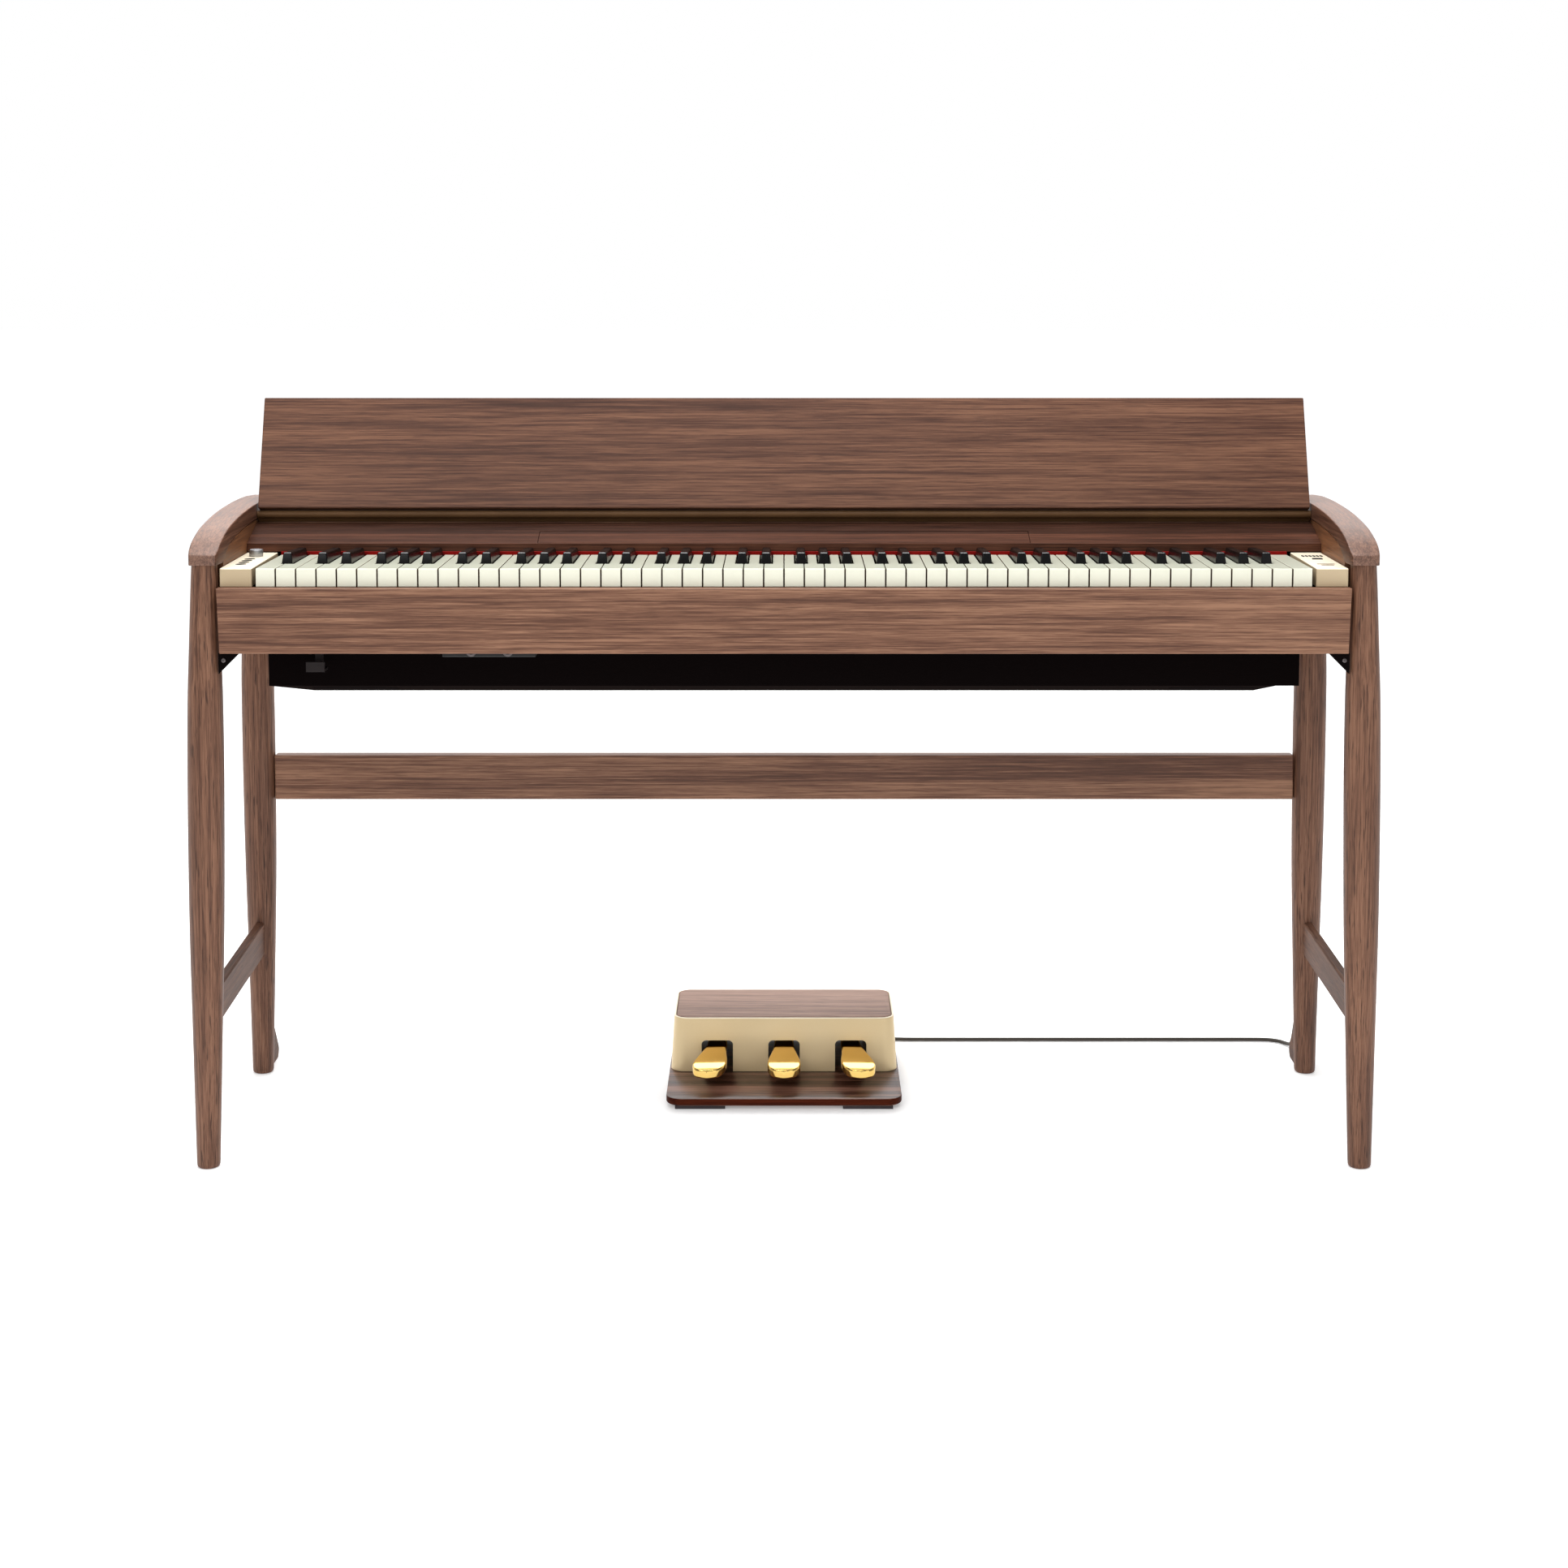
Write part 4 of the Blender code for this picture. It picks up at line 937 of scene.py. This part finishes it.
def make_pedal(word, x, splay):
    """A polished brass lever with a rounded, turned-down toe."""
    splay_start, splay_length = 0.310, 0.0775
    stations = [0.2325, 0.2326, 0.2327, 0.2329, 0.2331, 0.2334, 0.2338, 0.2343, 0.2348, 0.2355,
                0.2362, 0.2371, 0.2382, 0.2395]
    stations += spread(0.2410, 0.2850, 26) + spread(0.2880, 0.4040, 30)
    rings = []
    for behind in stations:
        half, low, high = smooth_through(PEDAL_LINE, behind)
        lean = splay * max(0.0, splay_start - behind) / splay_length
        soft = min(0.0028, half * 0.9)
        section = rounded_section(half, low, high, min(0.0018, soft), soft, 6)
        rings.append([floor_at(x + lean + dx, behind, z) for dx, z in section])
    piece(f"pedal_lever_{word}", skin(rings), "brass", body=f"pedal_{word}",
          replaces=[f"pedal_{word}"], smooth=60)


def make_housing():
    """The champagne housing: rounded shell, soft rim and three round-topped openings."""
    rings = []
    for height, half, front, back, radius in (
        (HOUSING_BOTTOM, 0.1477, 0.3080, 0.4410, 0.0180),
        (HOUSING_TOP - 0.0022, 0.1438, 0.3097, 0.4393, 0.0180),
        (HOUSING_TOP - 0.0012, 0.1435, 0.3100, 0.4390, 0.0177),
        (HOUSING_TOP - 0.0004, 0.1429, 0.3106, 0.4384, 0.0171),
        (HOUSING_TOP, 0.1421, 0.3114, 0.4376, 0.0163),
        (HOUSING_TOP, 0.1414, 0.3120, 0.4370, 0.0158),
        (HOUSING_TOP - 0.0006, 0.1411, 0.3123, 0.4367, 0.0154),
        (HOUSING_BOTTOM, 0.1451, 0.3106, 0.4384, 0.0154),
    ):
        rings.append(rounded_plan(half, front, back, radius, height))
    shell = piece("pedal_housing_shell", skin(rings, looped=True), "champagne",
                  replaces=["pedal_housing"], smooth=40)
    half, soft, low, shoulder = 0.0205, 0.006, 0.010, 0.0494
    for word, x, _ in PEDALS:
        outline = [(x + half, low)]
        outline += quarter_circle(x + half - soft, shoulder, soft, 0, 8)
        outline += quarter_circle(x - half + soft, shoulder, soft, 1, 8)
        outline.append((x - half, low))
        ends = [[floor_at(px, behind, pz) for px, pz in outline] for behind in (0.300, 0.330)]
        cutter = placed_mesh(f"opening_{word}", skin(ends))
        modifier = shell.modifiers.new("opening", "BOOLEAN")
        modifier.object = cutter
        modifier.solver = "EXACT"
        with bpy.context.temp_override(object=shell, active_object=shell):
            bpy.ops.object.modifier_apply(modifier="opening")
        bpy.data.objects.remove(cutter)
    smoothed(shell, 40)


def make_base_plate():
    """The walnut plate, with rounded corners and a dark reddish edge."""
    rings = inset_plans(0.1495, 0.2010, 0.4500, 0.020, (
        (PLATE_BOTTOM, 0.0022), (0.0048, 0.0010), (0.0058, 0.0002), (0.0066, 0.0),
        (PLATE_TOP - 0.0012, 0.0), (PLATE_TOP - 0.0004, 0.0004), (PLATE_TOP, 0.0012),
    ))
    plate = piece("pedal_plate", skin(rings), "plate_walnut",
                  replaces=["pedal_base"], smooth=40)
    second_material(plate, "plate_edge", lambda normal: abs(normal.z) < 0.6)


def make_inlay():
    """The walnut inlay in the housing's top, with softly rounded edges."""
    rings = inset_plans(0.1404, 0.3130, 0.4360, 0.0146, (
        (HOUSING_TOP - 0.0075, 0.0), (HOUSING_TOP - 0.0006, 0.0),
        (HOUSING_TOP + 0.0003, 0.0004), (HOUSING_TOP + 0.0007, 0.0012),
    ))
    piece("pedal_inlay", skin(rings), "inlay_walnut", replaces=["pedal_top"],
          smooth=40)


def make_pedal_unit():
    """The pedals, the housing, the plate, their small parts and the screws underneath."""
    for word, x, splay in PEDALS:
        make_pedal(word, x, splay)
    make_housing()
    make_base_plate()
    make_inlay()
    shown("pedal_axle", "grey_metal")
    shown("rubber_foot_left", "rubber", 0.0005)
    shown("rubber_foot_right", "rubber", 0.0005)
    shown("pedal_plug", "black_plastic")
    for number, (x, behind) in enumerate(((-0.05, 0.37), (0.05, 0.37), (0.0, 0.42)), 1):
        spot = floor_at(x, behind, PLATE_BOTTOM)
        make_screw(f"plate_screw_{number}", spot, 0.0034, (0, 0, -1))


# ---- cord --------------------------------------------
CORD_DIAMETER = 0.005
CORD_ROUTE = (
    # x, behind, height over the floor
    (0.1050, 0.4505, 0.0300), (0.1050, 0.4575, 0.0298), (0.1054, 0.4650, 0.0280),
    (0.1065, 0.4717, 0.0240), (0.1088, 0.4773, 0.0185), (0.1128, 0.4813, 0.0124),
    (0.1190, 0.4834, 0.0070), (0.1280, 0.4833, 0.0037), (0.1420, 0.4812, 0.0027),
    (0.1640, 0.4786, 0.0027), (0.2000, 0.4780, 0.0027), (0.3000, 0.4780, 0.0027),
    (0.4000, 0.4780, 0.0027), (0.5000, 0.4780, 0.0027), (0.6000, 0.4780, 0.0027),
    (0.6400, 0.4780, 0.0027), (0.6640, 0.4765, 0.0027), (0.6785, 0.4690, 0.0028),
    (0.6860, 0.4560, 0.0036), (0.6885, 0.4430, 0.0085), (0.6886, 0.4310, 0.0220),
    (0.6884, 0.4210, 0.0400), (0.6882, 0.4080, 0.0640), (0.6879, 0.3930, 0.0880),
    (0.6875, 0.3835, 0.1150), (0.6872, 0.3800, 0.1500), (0.6865, 0.3800, 0.2300),
    (0.6860, 0.3800, 0.3300), (0.6858, 0.3800, 0.4500), (0.6855, 0.3790, 0.5300),
    (0.6848, 0.3777, 0.5660), (0.6808, 0.3778, 0.5815), (0.6712, 0.3784, 0.5918),
    (0.6570, 0.3795, 0.5948), (0.6400, 0.3802, 0.5928), (0.6225, 0.3798, 0.5915),
    (0.6110, 0.3765, 0.5935), (0.6030, 0.3683, 0.5968), (0.6001, 0.3590, 0.5994),
    (0.6000, 0.3528, 0.6000),
)


def make_relief(name, points, ends):
    """A tapered sleeve with grooves round it, over an end of the cord."""
    steps, groove = 6, 0.0005
    fine = []
    for start, end in zip(points, points[1:]):
        fine += [start.lerp(end, k / steps) for k in range(steps)]
    fine.append(points[-1])
    radii = spread(ends[0], ends[1], len(fine))
    for k in range(3, len(fine) - 3):
        if k % 4 in (2, 3):
            radii[k] -= groove
    piece(name, sweep(fine, radii), "black_plastic", smooth=35)


def make_clip(name, points, height):
    """A saddle that holds the cord to the back of the rear leg."""
    centre = min(points, key=lambda point: abs(point.z - height))
    leg_radius = 0.0195
    leg_back = KEY_FRONT_Y + REAR_LEG + leg_radius - centre.y
    radius, thickness, half_height = 0.0036, 0.0009, 0.0035
    outline = [(0.0075, leg_back), (0.0040, leg_back + 0.0006)]
    outline += quarter_circle(0, 0, radius, 0, 6)
    outline += quarter_circle(0, 0, radius, 1, 6)[1:]
    outline += [(-0.0040, leg_back + 0.0006), (-0.0075, leg_back)]
    outline += [(x, y + thickness) for x, y in reversed(outline)]
    rings = []
    for z in (height - half_height, height + half_height):
        rings.append([Vector((centre.x + x, centre.y + y, z)) for x, y in outline])
    piece(name, skin(rings), "black_plastic", smooth=35)


def make_cord():
    """The pedal cord, on the route of its CAD tube, with its sleeves and clips."""
    knots = [floor_at(*point) for point in CORD_ROUTE]
    points = []      # the knots, and a point between each two of them on a smooth curve
    for k in range(len(knots) - 1):
        before, after = knots[max(k - 1, 0)], knots[min(k + 2, len(knots) - 1)]
        points.append(knots[k])
        points.append((knots[k] + knots[k + 1]) * 0.5625 - (before + after) * 0.0625)
    points.append(knots[-1])
    curve = bpy.data.curves.new("pedal_lead", "CURVE")
    curve.dimensions = "3D"
    curve.bevel_depth = CORD_DIAMETER / 2
    curve.bevel_resolution = 4
    curve.use_fill_caps = True
    spline = curve.splines.new("POLY")
    spline.points.add(len(points) - 1)
    for knot, point in zip(spline.points, points):
        knot.co = (*point, 1.0)
    spline.use_smooth = True
    curve.materials.append(MATERIALS["cord"])
    lead = placed("pedal_lead", curve)
    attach(lead, "root")
    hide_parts("pedal_cord")
    relief_radii = (0.0042, 0.0031)
    make_relief("cord_relief", points[:7], relief_radii)
    make_relief("plug_relief", points[:-8:-1], relief_radii)
    for number, height in enumerate((0.16, 0.28, 0.40, 0.52), 1):
        make_clip(f"cord_clip_{number}", points, height)


# ---- studio ------------------------------------------
def make_camera():
    """Looks straight at the keyboard from a little above the lid, tipped down."""
    tip = math.radians(5.5)
    data = bpy.data.cameras.new("camera")
    data.sensor_width = 36
    data.lens = 58.23
    data.shift_y = -0.1874
    camera = placed("camera", data)
    camera.location = at(0, -2.9132, 0.3717)
    camera.rotation_euler = (math.radians(90) - tip, 0, 0)
    bpy.context.scene.camera = camera


def make_area_light(name, place, target, size, power):
    """A soft rectangular light at a place, turned to a target."""
    data = bpy.data.lights.new(name, "AREA")
    data.shape = "RECTANGLE"
    data.size, data.size_y = size
    data.energy = power
    light = placed(name, data)
    light.location = place
    direction = Vector(target) - Vector(place)
    light.rotation_euler = direction.to_track_quat("-Z", "Y").to_euler()


def make_floor():
    """A white floor that glows more with distance, so that it meets the white background."""
    plane = bmesh.new()
    bmesh.ops.create_grid(plane, x_segments=1, y_segments=1, size=30)
    floor = placed_mesh("floor", plane)
    floor.location.z = -0.0004
    g = Graph("studio_floor", 0.9, colour=(0.90, 0.90, 0.90, 1))
    g.shader.inputs["Emission Color"].default_value = (1, 1, 1, 1)
    distance = g.tree.nodes.new("ShaderNodeVectorMath")
    distance.operation = "LENGTH"
    g.link(g.coords, distance.inputs[0])
    glow = g.remap(distance.outputs["Value"], 2.5, 7.0, 0.26, 0.47)
    g.link(glow, g.shader.inputs["Emission Strength"])
    floor.data.materials.append(g.material)


def make_world():
    """White surroundings, brighter behind the piano than behind the camera."""
    world = bpy.data.worlds.new("studio")
    world.use_nodes = True
    tree = world.node_tree
    direction = tree.nodes.new("ShaderNodeTexCoord").outputs["Generated"]
    split = tree.nodes.new("ShaderNodeSeparateXYZ")
    tree.links.new(direction, split.inputs["Vector"])
    ramp = tree.nodes.new("ShaderNodeMapRange")
    ramp.interpolation_type = "SMOOTHSTEP"
    for name, number in (("From Min", -0.2), ("From Max", 0.6), ("To Min", 0.40),
                         ("To Max", 1.0)):
        ramp.inputs[name].default_value = number
    tree.links.new(split.outputs["Y"], ramp.inputs["Value"])
    tree.links.new(ramp.outputs["Result"], tree.nodes["Background"].inputs["Strength"])
    tree.nodes["Background"].inputs["Color"].default_value = (1, 1, 1, 1)
    bpy.context.scene.world = world
    bpy.context.scene.view_settings.view_transform = "Standard"


def make_lights():
    """Soft light from behind, above, the front left and the front right."""
    make_area_light("back_light", (0, 3.0, 2.6), (0, 0, 0.5), (4.4, 1.5), 60)
    make_area_light("top_light", (-0.2, -0.2, 3.2), (0, 0, 0.5), (2.8, 1.8), 125)
    make_area_light("key_light", (-1.4, -2.8, 2.2), (0, 0, 0.5), (2.0, 1.4), 30)
    make_area_light("fill_light", (1.8, -2.9, 1.3), (0, 0, 0.4), (1.6, 1.8), 12)


make_camera()
make_cord()
make_stand()
make_cabinet()
make_keys()
make_knob()
make_marks()
make_phone_sockets()
make_speakers()
make_lid_hinges()
make_back()
make_pedal_unit()
make_floor()
make_world()
make_lights()
